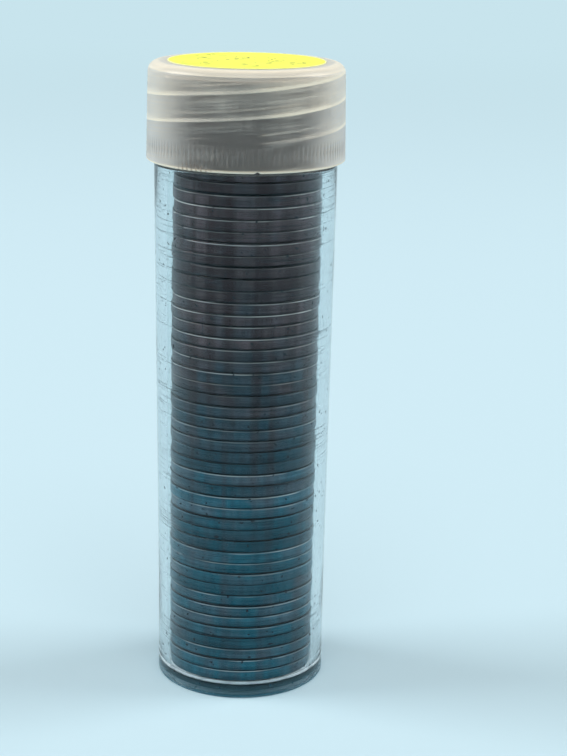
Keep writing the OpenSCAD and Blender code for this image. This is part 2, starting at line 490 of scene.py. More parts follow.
def rib_tree():
    """Raises the points marked as gripped into fine upright ribs, and nicks the edge at one place."""
    sizes = ["Ribs", "Rib height", "Nick angle", "Nick width", "Nick depth"]
    tree, given, output = new_tree(
        "grip_ribs", {**{key: "NodeSocketFloat" for key in sizes}, "Material": "NodeSocketMaterial"}
    )
    size = {key: given.outputs[key] for key in sizes}
    place = add(tree, "ShaderNodeSeparateXYZ", {0: add(tree, "GeometryNodeInputPosition")})
    x, y, _ = place.outputs
    around = add(tree, "ShaderNodeMath", {0: y, 1: x}, operation="ARCTAN2")
    phase = add(tree, "ShaderNodeMath", {0: around, 1: size["Ribs"]}, operation="MULTIPLY")
    wave = add(tree, "ShaderNodeMath", {0: phase}, operation="COSINE")
    grip = add(tree, "GeometryNodeInputNamedAttribute", {"Name": "gripped"}, data_type="FLOAT")
    push = add(tree, "ShaderNodeMath", {0: wave, 1: 1.0}, operation="SUBTRACT")
    for part in (0.5, grip, size["Rib height"]):
        push = add(tree, "ShaderNodeMath", {0: push, 1: part}, operation="MULTIPLY")
    flat = add(tree, "ShaderNodeCombineXYZ", {0: x, 1: y})
    outward = add(tree, "ShaderNodeVectorMath", {0: flat}, operation="NORMALIZE")
    move = add(tree, "ShaderNodeVectorMath", {0: outward, "Scale": push}, operation="SCALE")
    edge = add(tree, "GeometryNodeInputNamedAttribute", {"Name": "edge"}, data_type="FLOAT")
    aside = add(tree, "ShaderNodeMath", {0: around, 1: size["Nick angle"]}, operation="SUBTRACT")
    aside = add(tree, "ShaderNodeMath", {0: aside}, operation="ABSOLUTE")
    notch = add(
        tree, "ShaderNodeMapRange", {0: aside, 1: size["Nick width"], 2: 0.0, 3: 0.0, 4: 1.0},
        interpolation_type="SMOOTHSTEP",
    )
    lift = add(tree, "ShaderNodeMath", {0: notch, 1: edge}, operation="MULTIPLY")
    lift = add(tree, "ShaderNodeMath", {0: lift, 1: size["Nick depth"]}, operation="MULTIPLY")
    lift = add(tree, "ShaderNodeCombineXYZ", {2: lift})
    both = add(tree, "ShaderNodeVectorMath", {0: move, 1: lift}, operation="ADD")
    moved = add(tree, "GeometryNodeSetPosition", {"Geometry": given.outputs["Geometry"], "Offset": both})
    finish_tree(tree, moved.outputs[0], given.outputs["Material"], output)
    return tree


def coin_face_tree():
    """Adds a ring of beads and a wreath of leaves to both faces of a coin that lies at the origin."""
    sizes = ["Field height", "Bead ring", "Bead radius", "Wreath radius", "Leaf length", "Rosette radius"]
    tree, given, output = new_tree(
        "coin_relief",
        {
            **{key: "NodeSocketFloat" for key in sizes},
            **{key: "NodeSocketInt" for key in ("Beads", "Leaves", "Petals")},
            "Material": "NodeSocketMaterial",
        },
    )
    size = {key: given.outputs[key] for key in sizes}
    bead = add(tree, "GeometryNodeMeshIcoSphere", {"Radius": size["Bead radius"], "Subdivisions": 1})
    bead = add(
        tree, "GeometryNodeTransform", {"Geometry": bead, "Scale": (1.0, 1.0, BEAD_FLATNESS_SHARE)}
    )
    bead_ring = add(
        tree, "GeometryNodeMeshCircle", {"Vertices": given.outputs["Beads"], "Radius": size["Bead ring"]}
    )
    beads = add(tree, "GeometryNodeInstanceOnPoints", {"Points": bead_ring.outputs[0], "Instance": bead})
    leaf = add(tree, "GeometryNodeMeshIcoSphere", {"Radius": size["Leaf length"], "Subdivisions": 2})
    leaf = add(tree, "GeometryNodeTransform", {"Geometry": leaf, "Scale": LEAF_SHARES})
    leaf_ring = add(
        tree,
        "GeometryNodeMeshCircle",
        {"Vertices": given.outputs["Leaves"], "Radius": size["Wreath radius"]},
    )
    place = add(tree, "ShaderNodeSeparateXYZ", {0: add(tree, "GeometryNodeInputPosition")})
    around = add(tree, "ShaderNodeMath", {0: place.outputs[1], 1: place.outputs[0]}, operation="ARCTAN2")
    index = add(tree, "GeometryNodeInputIndex")
    side = add(tree, "ShaderNodeMath", {0: index, 1: 2.0}, operation="MODULO")
    lean = add(tree, "ShaderNodeMapRange", {0: side, 1: 0.0, 2: 1.0, 3: LEAF_LEAN[0], 4: LEAF_LEAN[1]})
    turn = add(tree, "ShaderNodeMath", {0: around, 1: lean}, operation="ADD")
    spin = add(tree, "ShaderNodeCombineXYZ", {2: turn})
    leaves = add(
        tree, "GeometryNodeInstanceOnPoints", {"Points": leaf_ring, "Instance": leaf, "Rotation": spin}
    )
    middle = add(
        tree,
        "GeometryNodeMeshCircle",
        {"Vertices": given.outputs["Petals"], "Radius": size["Rosette radius"]},
    )
    spread = add(tree, "ShaderNodeCombineXYZ", {2: around})
    rosette = add(
        tree, "GeometryNodeInstanceOnPoints", {"Points": middle, "Instance": leaf, "Rotation": spread}
    )
    relief = add(tree, "GeometryNodeJoinGeometry")
    for part in (beads, leaves, rosette):
        tree.links.new(part.outputs[0], relief.inputs[0])
    up = add(tree, "ShaderNodeCombineXYZ", {2: size["Field height"]})
    top = add(tree, "GeometryNodeTransform", {"Geometry": relief.outputs[0], "Translation": up})
    low = add(tree, "ShaderNodeVectorMath", {0: up, "Scale": -1.0}, operation="SCALE")
    bottom = add(tree, "GeometryNodeTransform", {"Geometry": relief.outputs[0], "Translation": low})
    whole = add(tree, "GeometryNodeJoinGeometry")
    for part in (given.outputs["Geometry"], top.outputs[0], bottom.outputs[0]):
        tree.links.new(part, whole.inputs[0])
    finish_tree(tree, whole.outputs[0], given.outputs["Material"], output)
    return tree


def bore_marks(tree, coords, height, bore):
    """Rings that the coins rubbed in the bore, and a few handling scratches."""
    # Rings that the coins rubbed in the bore: a tenth of a millimetre high and a few millimetres long
    rings = add(tree, "ShaderNodeMapping", {"Vector": coords, "Scale": (95.0, 95.0, 6400.0)})
    rings = add(tree, "ShaderNodeTexNoise", {"Vector": rings, "Scale": 1.0, "Detail": 2.0})
    rings = add(tree, "ShaderNodeMapRange", {0: rings, 1: 0.58, 2: 0.68, 3: 0.0, 4: 1.0})
    # They lie in groups, and mostly in the upper half of the tube
    group = add(tree, "ShaderNodeMapping", {"Vector": coords, "Scale": (60.0, 60.0, 260.0)})
    group = add(tree, "ShaderNodeTexNoise", {"Vector": group, "Scale": 1.0, "Detail": 1.0})
    rise = add(
        tree, "ShaderNodeMapRange", {0: height, 1: FLOOR_TOP, 2: 0.75 * CAP_BOTTOM, 3: -0.10, 4: 0.04}
    )
    group = add(tree, "ShaderNodeMath", {0: group, 1: rise}, operation="ADD")
    group = add(tree, "ShaderNodeMapRange", {0: group, 1: 0.44, 2: 0.56, 3: 0.0, 4: 1.0})
    for part in (group, bore):
        rings = add(tree, "ShaderNodeMath", {0: rings, 1: part}, operation="MULTIPLY")
    # A few upright handling scratches, two millimetres long
    nicks = add(tree, "ShaderNodeMapping", {"Vector": coords, "Scale": (1700.0, 1700.0, 210.0)})
    nicks = add(tree, "ShaderNodeTexNoise", {"Vector": nicks, "Scale": 1.0, "Detail": 1.0})
    nicks = add(tree, "ShaderNodeMapRange", {0: nicks, 1: 0.80, 2: 0.84, 3: 0.0, 4: 0.8})
    return add(tree, "ShaderNodeMath", {0: rings, 1: nicks}, operation="MAXIMUM")


def floor_corner(tube, tree, height, reach, bore, edge):
    """The rounded corner at the end of the floor's channel."""
    ring = FLOOR_TOP - tube.channel + tube.corner
    corner = add(tree, "ShaderNodeMath", {0: height, 1: ring}, operation="SUBTRACT")
    corner = add(tree, "ShaderNodeMath", {0: corner}, operation="ABSOLUTE")
    corner = add(
        tree,
        "ShaderNodeMapRange",
        {0: corner, 1: 1.7 * tube.corner, 2: 1.3 * tube.corner, 3: 0.0, 4: 1.0},
    )
    near = add(tree, "ShaderNodeMapRange", {0: reach, 1: edge, 2: edge + tube.corner, 3: 0.0, 4: 1.0})
    for part in (near, bore):
        corner = add(tree, "ShaderNodeMath", {0: corner, 1: part}, operation="MULTIPLY")
    return corner


def painted_foot_and_ledge(tube, tree, height, reach):
    """Scuff and painted shade on the standing ring, painted shade in the recess inside it and on the
    foot's outside, and a painted highlight on the ledge under the cap.
    """
    # The ring that the tube stands on is scuffed and dull with painted shade, and the recess inside it
    # has painted shade in the colour of thick plastic
    stand = add(tree, "ShaderNodeMapRange", {0: height, 1: tube.foot_recess / 10, 2: 0.0, 3: 0.0, 4: 0.6})
    foot = COIN_RADIUS + tube.bore_gap + tube.wall
    brink = foot - tube.foot_ring + tube.edge
    recess = add(
        tree, "ShaderNodeMapRange", {0: reach, 1: brink, 2: brink - tube.edge / 2, 3: 0.0, 4: 0.45}
    )
    ceiling = add(
        tree,
        "ShaderNodeMath",
        {0: height, 1: tube.foot_recess, 2: tube.foot_recess / 10},
        operation="COMPARE",
    )
    recess = add(tree, "ShaderNodeMath", {0: recess, 1: ceiling}, operation="MULTIPLY")
    # Painted shade on the foot's outside below the floor's channel, most of all on its lower edge
    rubbed = add(
        tree,
        "ShaderNodeMapRange",
        {0: height, 1: 1.5 * tube.foot_edge, 2: tube.foot_edge, 3: 0.0, 4: 0.65},
    )
    band = FLOOR_TOP - tube.channel
    skin = add(
        tree, "ShaderNodeMapRange", {0: height, 1: band + 1.5 * tube.corner, 2: band, 3: 0.0, 4: 0.34}
    )
    rubbed = add(tree, "ShaderNodeMath", {0: rubbed, 1: skin}, operation="MAXIMUM")
    outer = add(
        tree,
        "ShaderNodeMapRange",
        {0: reach, 1: foot - tube.foot_edge, 2: foot - tube.foot_edge / 2, 3: 0.0, 4: 1.0},
    )
    rubbed = add(tree, "ShaderNodeMath", {0: rubbed, 1: outer}, operation="MULTIPLY")
    # A painted highlight on the ledge under the cap
    neck = COIN_RADIUS + tube.bore_gap + tube.bore_draft + tube.neck_wall
    ledge_highlight = add(
        tree,
        "ShaderNodeMath",
        {0: height, 1: CAP_BOTTOM - tube.shoulder_gap, 2: tube.edge / 4},
        operation="COMPARE",
    )
    outside = add(tree, "ShaderNodeMapRange", {0: reach, 1: neck, 2: neck + tube.edge, 3: 0.0, 4: 0.35})
    ledge_highlight = add(tree, "ShaderNodeMath", {0: ledge_highlight, 1: outside}, operation="MULTIPLY")
    return stand, recess, rubbed, ledge_highlight


def clear_moulded_polystyrene(tube):
    """Injection-moulded crystal polystyrene: glass-clear, rubbed inside by the coins, a little dusty,
    with painted shade on the foot and painted highlights in the floor's corner and on the ledge.
    """
    material, output = new_material("clear_moulded_polystyrene")
    tree = material.node_tree
    coords = add(tree, "ShaderNodeTexCoord").outputs["Object"]
    place = add(tree, "ShaderNodeSeparateXYZ", {0: coords})
    flat = add(tree, "ShaderNodeCombineXYZ", {0: place.outputs[0], 1: place.outputs[1]})
    reach = add(tree, "ShaderNodeVectorMath", {0: flat}, operation="LENGTH").outputs["Value"]
    height = place.outputs[2]
    inner = COIN_RADIUS + tube.bore_gap + tube.wall / 2
    bore = add(tree, "ShaderNodeMapRange", {0: reach, 1: inner, 2: inner - tube.wall / 4, 3: 0.0, 4: 1.0})
    marks = bore_marks(tree, coords, height, bore)
    # Dark dust specks, a fifth of a millimetre across
    dust = add(tree, "ShaderNodeTexNoise", {"Vector": coords, "Scale": 1900.0, "Detail": 0.0})
    dust = add(tree, "ShaderNodeMapRange", {0: dust, 1: 0.80, 2: 0.82, 3: 0.0, 4: 0.9})
    # A painted highlight in the corner of the floor, uneven
    edge = COIN_RADIUS - 2 * tube.corner
    corner = floor_corner(tube, tree, height, reach, bore, edge)
    # Its glints are broken up over a millimetre or two
    spark = add(tree, "ShaderNodeTexNoise", {"Vector": coords, "Scale": 700.0, "Detail": 4.0})
    # Slow unevenness of the moulding over centimetres
    slow = add(tree, "ShaderNodeTexNoise", {"Vector": coords, "Scale": 90.0, "Detail": 1.0})
    bump = add(tree, "ShaderNodeBump", {"Height": slow, "Strength": 0.06, "Distance": SLOW_RELIEF})
    bump = add(
        tree,
        "ShaderNodeBump",
        {"Height": marks, "Strength": 0.12, "Distance": SCRATCH_RELIEF, "Normal": bump},
    )
    glint = add(tree, "ShaderNodeMath", {0: spark, 1: corner}, operation="MULTIPLY")
    bump = add(
        tree,
        "ShaderNodeBump",
        {"Height": glint, "Strength": 0.4, "Distance": GLINT_RELIEF, "Normal": bump},
    )
    # The floor and the recess below it were left matt by the mould
    low = add(
        tree, "ShaderNodeMapRange", {0: height, 1: FLOOR_TOP + FLOOR_BORDER, 2: FLOOR_TOP, 3: 0.0, 4: 1.0}
    )
    matt = add(tree, "ShaderNodeMapRange", {0: reach, 1: COIN_RADIUS, 2: edge, 3: 0.0, 4: 1.0})
    matt = add(tree, "ShaderNodeMath", {0: matt, 1: low.outputs[0]}, operation="MULTIPLY")
    worn = add(tree, "ShaderNodeMath", {0: marks, 1: 0.3}, operation="MULTIPLY")
    for part in (corner, matt):
        worn = add(tree, "ShaderNodeMath", {0: worn, 1: part}, operation="MAXIMUM")
    rough = add(tree, "ShaderNodeMapRange", {0: worn, 1: 0.0, 2: 1.0, 3: 0.02, 4: 0.38})
    plastic = add(
        tree,
        "ShaderNodeBsdfPrincipled",
        {
            "Base Color": linear(tube.tint),
            "Roughness": rough,
            "IOR": tube.refraction,
            "Specular Tint": linear(tube.mirror),
            "Transmission Weight": 1.0,
            "Normal": bump,
        },
    )
    soil = linear(tube.haze)
    # Dust specks, and the painted highlight in the floor's corner
    for mask, tint in ((dust, tube.dust), (corner, tube.glint)):
        soil = add(
            tree, "ShaderNodeMix", {"Factor": mask, "A": soil, "B": linear(tint)}, data_type="RGBA"
        ).outputs["Result"]
    cover = add(tree, "ShaderNodeMath", {0: marks, 1: 0.55}, operation="MULTIPLY")
    cover = add(tree, "ShaderNodeMath", {0: cover, 1: dust}, operation="MAXIMUM")
    stand, recess, rubbed, ledge_highlight = painted_foot_and_ledge(tube, tree, height, reach)
    # Each of these covers the clear plastic with its own colour: scuff and painted shade on the foot, a
    # painted highlight on the ledge
    for mask, tint in (
        (stand, tube.scuff_and_shade), (recess, tube.depth), (rubbed, tube.scuff_and_shade), (ledge_highlight, tube.glint)
    ):
        soil = add(
            tree, "ShaderNodeMix", {"Factor": mask, "A": soil, "B": linear(tint)}, data_type="RGBA"
        ).outputs["Result"]
        cover = add(tree, "ShaderNodeMath", {0: cover, 1: mask}, operation="MAXIMUM")
    broken = add(tree, "ShaderNodeMapRange", {0: spark, 1: 0.38, 2: 0.54, 3: 0.45, 4: 1.0})
    broken = add(tree, "ShaderNodeMath", {0: broken, 1: corner}, operation="MULTIPLY")
    cover = add(tree, "ShaderNodeMath", {0: cover, 1: broken}, operation="MAXIMUM")
    marks_and_painted_light = add(
        tree,
        "ShaderNodeBsdfPrincipled",
        {"Base Color": soil, "Roughness": 0.6, "Specular IOR Level": 0.2, "Normal": bump},
    )
    surface = add(tree, "ShaderNodeMixShader", {0: cover, 1: plastic, 2: marks_and_painted_light})
    # Light gets through the walls, but little of it through the thick foot
    thick = add(
        tree,
        "ShaderNodeMapRange",
        {0: height, 1: FLOOR_TOP - tube.channel, 2: 2 * tube.foot_recess, 3: 0.0, 4: 1.0},
    )
    passed = add(
        tree,
        "ShaderNodeMix",
        {"Factor": thick, "A": linear(tube.passed), "B": linear(tube.held)},
        data_type="RGBA",
    ).outputs["Result"]
    lamps = add(tree, "ShaderNodeBsdfTransparent", {0: passed})
    shadow = add(tree, "ShaderNodeLightPath").outputs["Is Shadow Ray"]
    mixed = add(tree, "ShaderNodeMixShader", {0: shadow, 1: surface, 2: lamps})
    tree.links.new(mixed.outputs[0], output.inputs[0])
    # A long way through the plastic, as in the foot, looks blue-grey
    depth = add(
        tree, "ShaderNodeVolumeAbsorption", {"Color": linear(tube.depth), "Density": tube.absorption}
    )
    tree.links.new(depth.outputs[0], output.inputs[1])
    return material


def ridge_glow(thread, tree, around, z):
    """Where a point lies between two inner ridges, from 0 to 1, and how brightly the painted highlight of
    a ridge shows there.
    """
    # How far a point lies above the lower flank of the ridge below it, as a share of the ridge spacing
    pitch = thread.lead / thread.starts
    off = add(tree, "ShaderNodeMath", {0: around, 1: thread.first}, operation="SUBTRACT")
    climb = add(tree, "ShaderNodeMath", {0: off, 1: thread.lead / FULL_TURN}, operation="MULTIPLY")
    base = CAP_BOTTOM + thread.cap_start - thread.root / 2
    above = add(tree, "ShaderNodeMath", {0: z, 1: base}, operation="SUBTRACT")
    rest = add(tree, "ShaderNodeMath", {0: above, 1: climb}, operation="SUBTRACT")
    strand = add(tree, "ShaderNodeMath", {0: rest, 1: pitch}, operation="DIVIDE")
    sweep = add(tree, "ShaderNodeMath", {0: strand}, operation="FRACT")
    glows = []
    for stops in (RIDGE_GLOW, FAINT_GLOW):
        ramp = add(tree, "ShaderNodeValToRGB", {0: sweep})
        elements = ramp.color_ramp.elements
        while len(elements) < len(stops):
            elements.new(0.5)
        for element, (position, value) in zip(elements, stops):
            element.position = position
            element.color = (value, value, value, 1.0)
        glows.append(ramp.outputs[0])
    bright, faint = glows
    # Each ridge starts at its own angle and comes up to full brightness over a fifth of a turn
    lift = add(tree, "ShaderNodeMath", {0: sweep, 1: -pitch, 2: above}, operation="MULTIPLY_ADD")
    begun = add(
        tree,
        "ShaderNodeMapRange",
        {0: lift, 1: 0.03 * thread.lead, 2: 0.2 * thread.lead, 3: 0.0, 4: 1.0},
        interpolation_type="SMOOTHSTEP",
    )
    ridge = add(tree, "ShaderNodeMath", {0: bright, 1: begun}, operation="MULTIPLY")
    ridge = add(tree, "ShaderNodeMath", {0: ridge, 1: faint}, operation="MAXIMUM")
    return sweep, ridge


def shoulder_and_edge_highlights(cap, tree, z, reach, crown):
    """Painted highlights on the top plate with the shoulder, and on the lower edge."""
    # The top plate and the shoulder are cream, partly dense plastic and partly a painted highlight, with
    # a crisp lower border and two brighter painted lines on the shoulder
    border = CAP_TOP - 0.58 * cap.shoulder
    top = add(
        tree,
        "ShaderNodeMapRange",
        {0: z, 1: border - PLATE_BORDER[0], 2: border + PLATE_BORDER[1], 3: 0.0, 4: 1.0},
    )
    band = add(tree, "ShaderNodeMapRange", {0: z, 1: border, 2: CAP_TOP, 3: 0.0, 4: 1.0})
    band = add(tree, "ShaderNodeMath", {0: band, 1: FULL_TURN * 1.15}, operation="MULTIPLY")
    band = add(tree, "ShaderNodeMath", {0: band}, operation="COSINE")
    band = add(tree, "ShaderNodeMapRange", {0: band, 1: -1.0, 2: 1.0, 3: 0.8, 4: 1.0})
    top = add(tree, "ShaderNodeMath", {0: top, 1: band}, operation="MULTIPLY")
    plate = add(tree, "ShaderNodeMapRange", {0: reach, 1: crown - cap.edge, 2: crown, 3: 0.5, 4: 1.0})
    top = add(tree, "ShaderNodeMath", {0: top, 1: plate}, operation="MULTIPLY")
    # A painted highlight along the lower edge
    foot = add(
        tree,
        "ShaderNodeMapRange",
        {0: z, 1: CAP_BOTTOM + 1.6 * cap.edge, 2: CAP_BOTTOM + cap.edge, 3: 0.0, 4: 1.0},
    )
    return top, foot


def resin_flow(tree, coords, sweep):
    """Clouding, flow lines, fine drag marks, and the drag marks' height for the relief."""
    # Clouding of the resin over a few millimetres, and flow lines of a centimetre that run round the cap
    cloud = add(tree, "ShaderNodeTexNoise", {"Vector": coords, "Scale": 260.0, "Detail": 3.0})
    around_ridge = add(tree, "ShaderNodeMath", {0: sweep, 1: FULL_TURN}, operation="MULTIPLY")
    across = add(tree, "ShaderNodeMath", {0: around_ridge}, operation="COSINE")
    across = add(tree, "ShaderNodeMath", {0: across, 1: 2.2}, operation="MULTIPLY")
    beside = add(tree, "ShaderNodeMath", {0: around_ridge}, operation="SINE")
    beside = add(tree, "ShaderNodeMath", {0: beside, 1: 2.2}, operation="MULTIPLY")
    drawn = add(tree, "ShaderNodeMapping", {"Vector": coords, "Scale": (130.0, 130.0, 90.0)})
    drawn = add(
        tree,
        "ShaderNodeVectorMath",
        {0: drawn, 1: add(tree, "ShaderNodeCombineXYZ", {2: across})},
        operation="ADD",
    )
    flow = add(
        tree, "ShaderNodeTexNoise", {"Vector": drawn, "W": beside, "Scale": 1.0, "Detail": 4.0},
        noise_dimensions="4D",
    )
    # Fine upright drag marks, less than half a millimetre apart and a few millimetres long
    upright = add(tree, "ShaderNodeMapping", {"Vector": coords, "Scale": (2600.0, 2600.0, 260.0)})
    drag = add(tree, "ShaderNodeTexNoise", {"Vector": upright, "Scale": 1.0, "Detail": 2.0})
    cloud = add(tree, "ShaderNodeMapRange", {0: cloud, 1: 0.3, 2: 0.7, 3: -0.08, 4: 0.08})
    lines = add(tree, "ShaderNodeMapRange", {0: flow, 1: 0.3, 2: 0.7, 3: -0.2, 4: 0.24})
    fine = add(tree, "ShaderNodeMapRange", {0: drag, 1: 0.3, 2: 0.7, 3: -0.05, 4: 0.05})
    return cloud, lines, fine, drag


def grip_grooves(cap, tree, around, flat, z, cloud):
    """Grime between the grip ribs, and painted shade in the grooves."""
    # Old grime between the grip ribs, in patches near the lower edge
    low = CAP_BOTTOM + cap.rib_low
    grime = add(
        tree, "ShaderNodeMapRange", {0: z, 1: low + 3 * cap.edge, 2: low + cap.edge, 3: 0.0, 4: 1.0}
    )
    spot = Vector((math.cos(cap.grime_angle), math.sin(cap.grime_angle), 0.0)) * SKIRT_RADIUS
    patch = add(tree, "ShaderNodeVectorMath", {0: flat, 1: spot}, operation="DISTANCE").outputs["Value"]
    patch = add(
        tree,
        "ShaderNodeMapRange",
        {0: patch, 1: cap.grime_reach, 2: cap.grime_reach / 2, 3: 0.0, 4: 0.65},
    )
    comb = add(tree, "ShaderNodeMath", {0: around, 1: float(cap.ribs)}, operation="MULTIPLY")
    comb = add(tree, "ShaderNodeMath", {0: comb}, operation="COSINE")
    groove = add(tree, "ShaderNodeMapRange", {0: comb, 1: 0.1, 2: -0.8, 3: 0.0, 4: 1.0})
    for part in (patch, groove):
        grime = add(tree, "ShaderNodeMath", {0: grime, 1: part}, operation="MULTIPLY")
    # Painted shade in the grooves between the ribs, stronger in some places than in others
    high = CAP_BOTTOM + cap.rib_high
    groove_shade = add(tree, "ShaderNodeMapRange", {0: z, 1: high, 2: (low + high) / 2, 3: 0.0, 4: 1.0})
    skirt = add(tree, "ShaderNodeMapRange", {0: z, 1: low, 2: (low + high) / 2, 3: 0.0, 4: 1.0})
    groove_shade = add(tree, "ShaderNodeMath", {0: groove_shade, 1: skirt}, operation="MINIMUM")
    uneven = add(tree, "ShaderNodeMapRange", {0: cloud, 1: -0.05, 2: 0.05, 3: 0.15, 4: 0.6})
    for part in (groove, uneven):
        groove_shade = add(tree, "ShaderNodeMath", {0: groove_shade, 1: part}, operation="MULTIPLY")
    return grime, groove_shade


def natural_moulded_polyethylene(cap, thread):
    """Injection-moulded natural polyethylene: milky, clear where thin, pale along the inner ridges partly
    for their thickness and partly as painted highlight, with painted highlights on the shoulder and lower
    edge and painted shade in the grip grooves.
    """
    material, output = new_material("natural_moulded_polyethylene")
    tree = material.node_tree
    coords = add(tree, "ShaderNodeTexCoord").outputs["Object"]
    place = add(tree, "ShaderNodeSeparateXYZ", {0: coords})
    x, y, z = place.outputs
    around = add(tree, "ShaderNodeMath", {0: y, 1: x}, operation="ARCTAN2")
    sweep, ridge = ridge_glow(thread, tree, around, z)
    # No ridge shows in the flat top plate
    flat = add(tree, "ShaderNodeCombineXYZ", {0: x, 1: y})
    reach = add(tree, "ShaderNodeVectorMath", {0: flat}, operation="LENGTH").outputs["Value"]
    crown = SKIRT_RADIUS - cap.draft - cap.shoulder
    wall = add(
        tree,
        "ShaderNodeMapRange",
        {0: reach, 1: crown - 2 * cap.edge, 2: crown - cap.edge, 3: 0.0, 4: 1.0},
    )
    ridge = add(tree, "ShaderNodeMath", {0: ridge, 1: wall}, operation="MULTIPLY")
    # One stretch of the wall is thinner: it is clearer, and the ridges in it are fainter
    stretch_middle = Vector((math.cos(cap.thin_angle), math.sin(cap.thin_angle), 0.0)) * SKIRT_RADIUS
    thin = add(
        tree, "ShaderNodeVectorMath", {0: flat, 1: stretch_middle}, operation="DISTANCE"
    ).outputs["Value"]
    thin = add(
        tree, "ShaderNodeMapRange", {0: thin, 1: cap.thin_reach, 2: cap.thin_reach / 5, 3: 0.0, 4: 1.0},
        interpolation_type="SMOOTHSTEP",
    )
    faded = add(tree, "ShaderNodeMapRange", {0: thin, 1: 0.0, 2: 1.0, 3: 1.0, 4: 0.55})
    ridge = add(tree, "ShaderNodeMath", {0: ridge, 1: faded}, operation="MULTIPLY")
    clearer = add(tree, "ShaderNodeMapRange", {0: thin, 1: 0.0, 2: 1.0, 3: 0.06, 4: -0.05})
    top, foot = shoulder_and_edge_highlights(cap, tree, z, reach, crown)
    cloud, lines, fine, drag = resin_flow(tree, coords, sweep)
    # Painted lighter towards the top
    rise = add(tree, "ShaderNodeMapRange", {0: z, 1: CAP_BOTTOM, 2: CAP_TOP, 3: -0.06, 4: 0.10})
    body = ridge
    for part in (cloud, clearer, lines, fine, rise):
        body = add(tree, "ShaderNodeMath", {0: body, 1: part}, operation="ADD")
    # The upper half is painted a little paler and more milky still, as painted light
    half = (CAP_BOTTOM + CAP_TOP) / 2
    paler_above = add(
        tree, "ShaderNodeMapRange", {0: z, 1: half, 2: half + 0.4 * (CAP_TOP - half), 3: 0.0, 4: 0.09},
        interpolation_type="SMOOTHSTEP",
    )
    body = add(tree, "ShaderNodeMath", {0: body, 1: paler_above}, operation="ADD", use_clamp=True)
    for part in (top, foot):
        body = add(tree, "ShaderNodeMath", {0: body, 1: part}, operation="MAXIMUM")
    tone = add(
        tree,
        "ShaderNodeMix",
        {"Factor": body, "A": linear(cap.grey), "B": linear(cap.pale)},
        data_type="RGBA",
    ).outputs["Result"]
    grime, groove_shade = grip_grooves(cap, tree, around, flat, z, cloud)
    for mask, tint in ((groove_shade, cap.groove), (grime, cap.grime)):
        tone = add(
            tree, "ShaderNodeMix", {"Factor": mask, "A": tone, "B": linear(tint)}, data_type="RGBA"
        ).outputs["Result"]
    bump = add(tree, "ShaderNodeBump", {"Height": drag, "Strength": 0.25, "Distance": SCRATCH_RELIEF})
    milky = add(
        tree,
        "ShaderNodeBsdfPrincipled",
        {"Base Color": tone, "Roughness": 0.36, "IOR": cap.refraction, "Normal": bump},
    )
    through = add(tree, "ShaderNodeBsdfTranslucent", {"Color": tone, "Normal": bump})
    share_through = add(tree, "ShaderNodeMapRange", {0: body, 1: 0.2, 2: 1.0, 3: 0.45, 4: 0.06})
    milky = add(tree, "ShaderNodeMixShader", {0: share_through, 1: milky, 2: through})
    frosted = add(
        tree,
        "ShaderNodeBsdfGlass",
        {"Color": linear(cap.through), "Roughness": 0.28, "IOR": cap.refraction, "Normal": bump},
    )
    limb = add(tree, "ShaderNodeLayerWeight", {"Blend": 0.5}).outputs["Facing"]
    limb = add(tree, "ShaderNodeMapRange", {0: limb, 1: 0.1, 2: 0.62, 3: 0.0, 4: 1.0})
    cover = add(tree, "ShaderNodeMapRange", {0: body, 1: 0.0, 2: 1.0, 3: 0.08, 4: 0.96})
    for part in (grime, groove_shade, limb):
        cover = add(tree, "ShaderNodeMath", {0: cover, 1: part}, operation="MAXIMUM")
    surface = add(tree, "ShaderNodeMixShader", {0: cover, 1: frosted, 2: milky})
    lamps = add(tree, "ShaderNodeBsdfTransparent", {0: linear(cap.passed)})
    shadow = add(tree, "ShaderNodeLightPath").outputs["Is Shadow Ray"]
    mixed = add(tree, "ShaderNodeMixShader", {0: shadow, 1: surface, 2: lamps})
    tree.links.new(mixed.outputs[0], output.inputs[0])
    return material


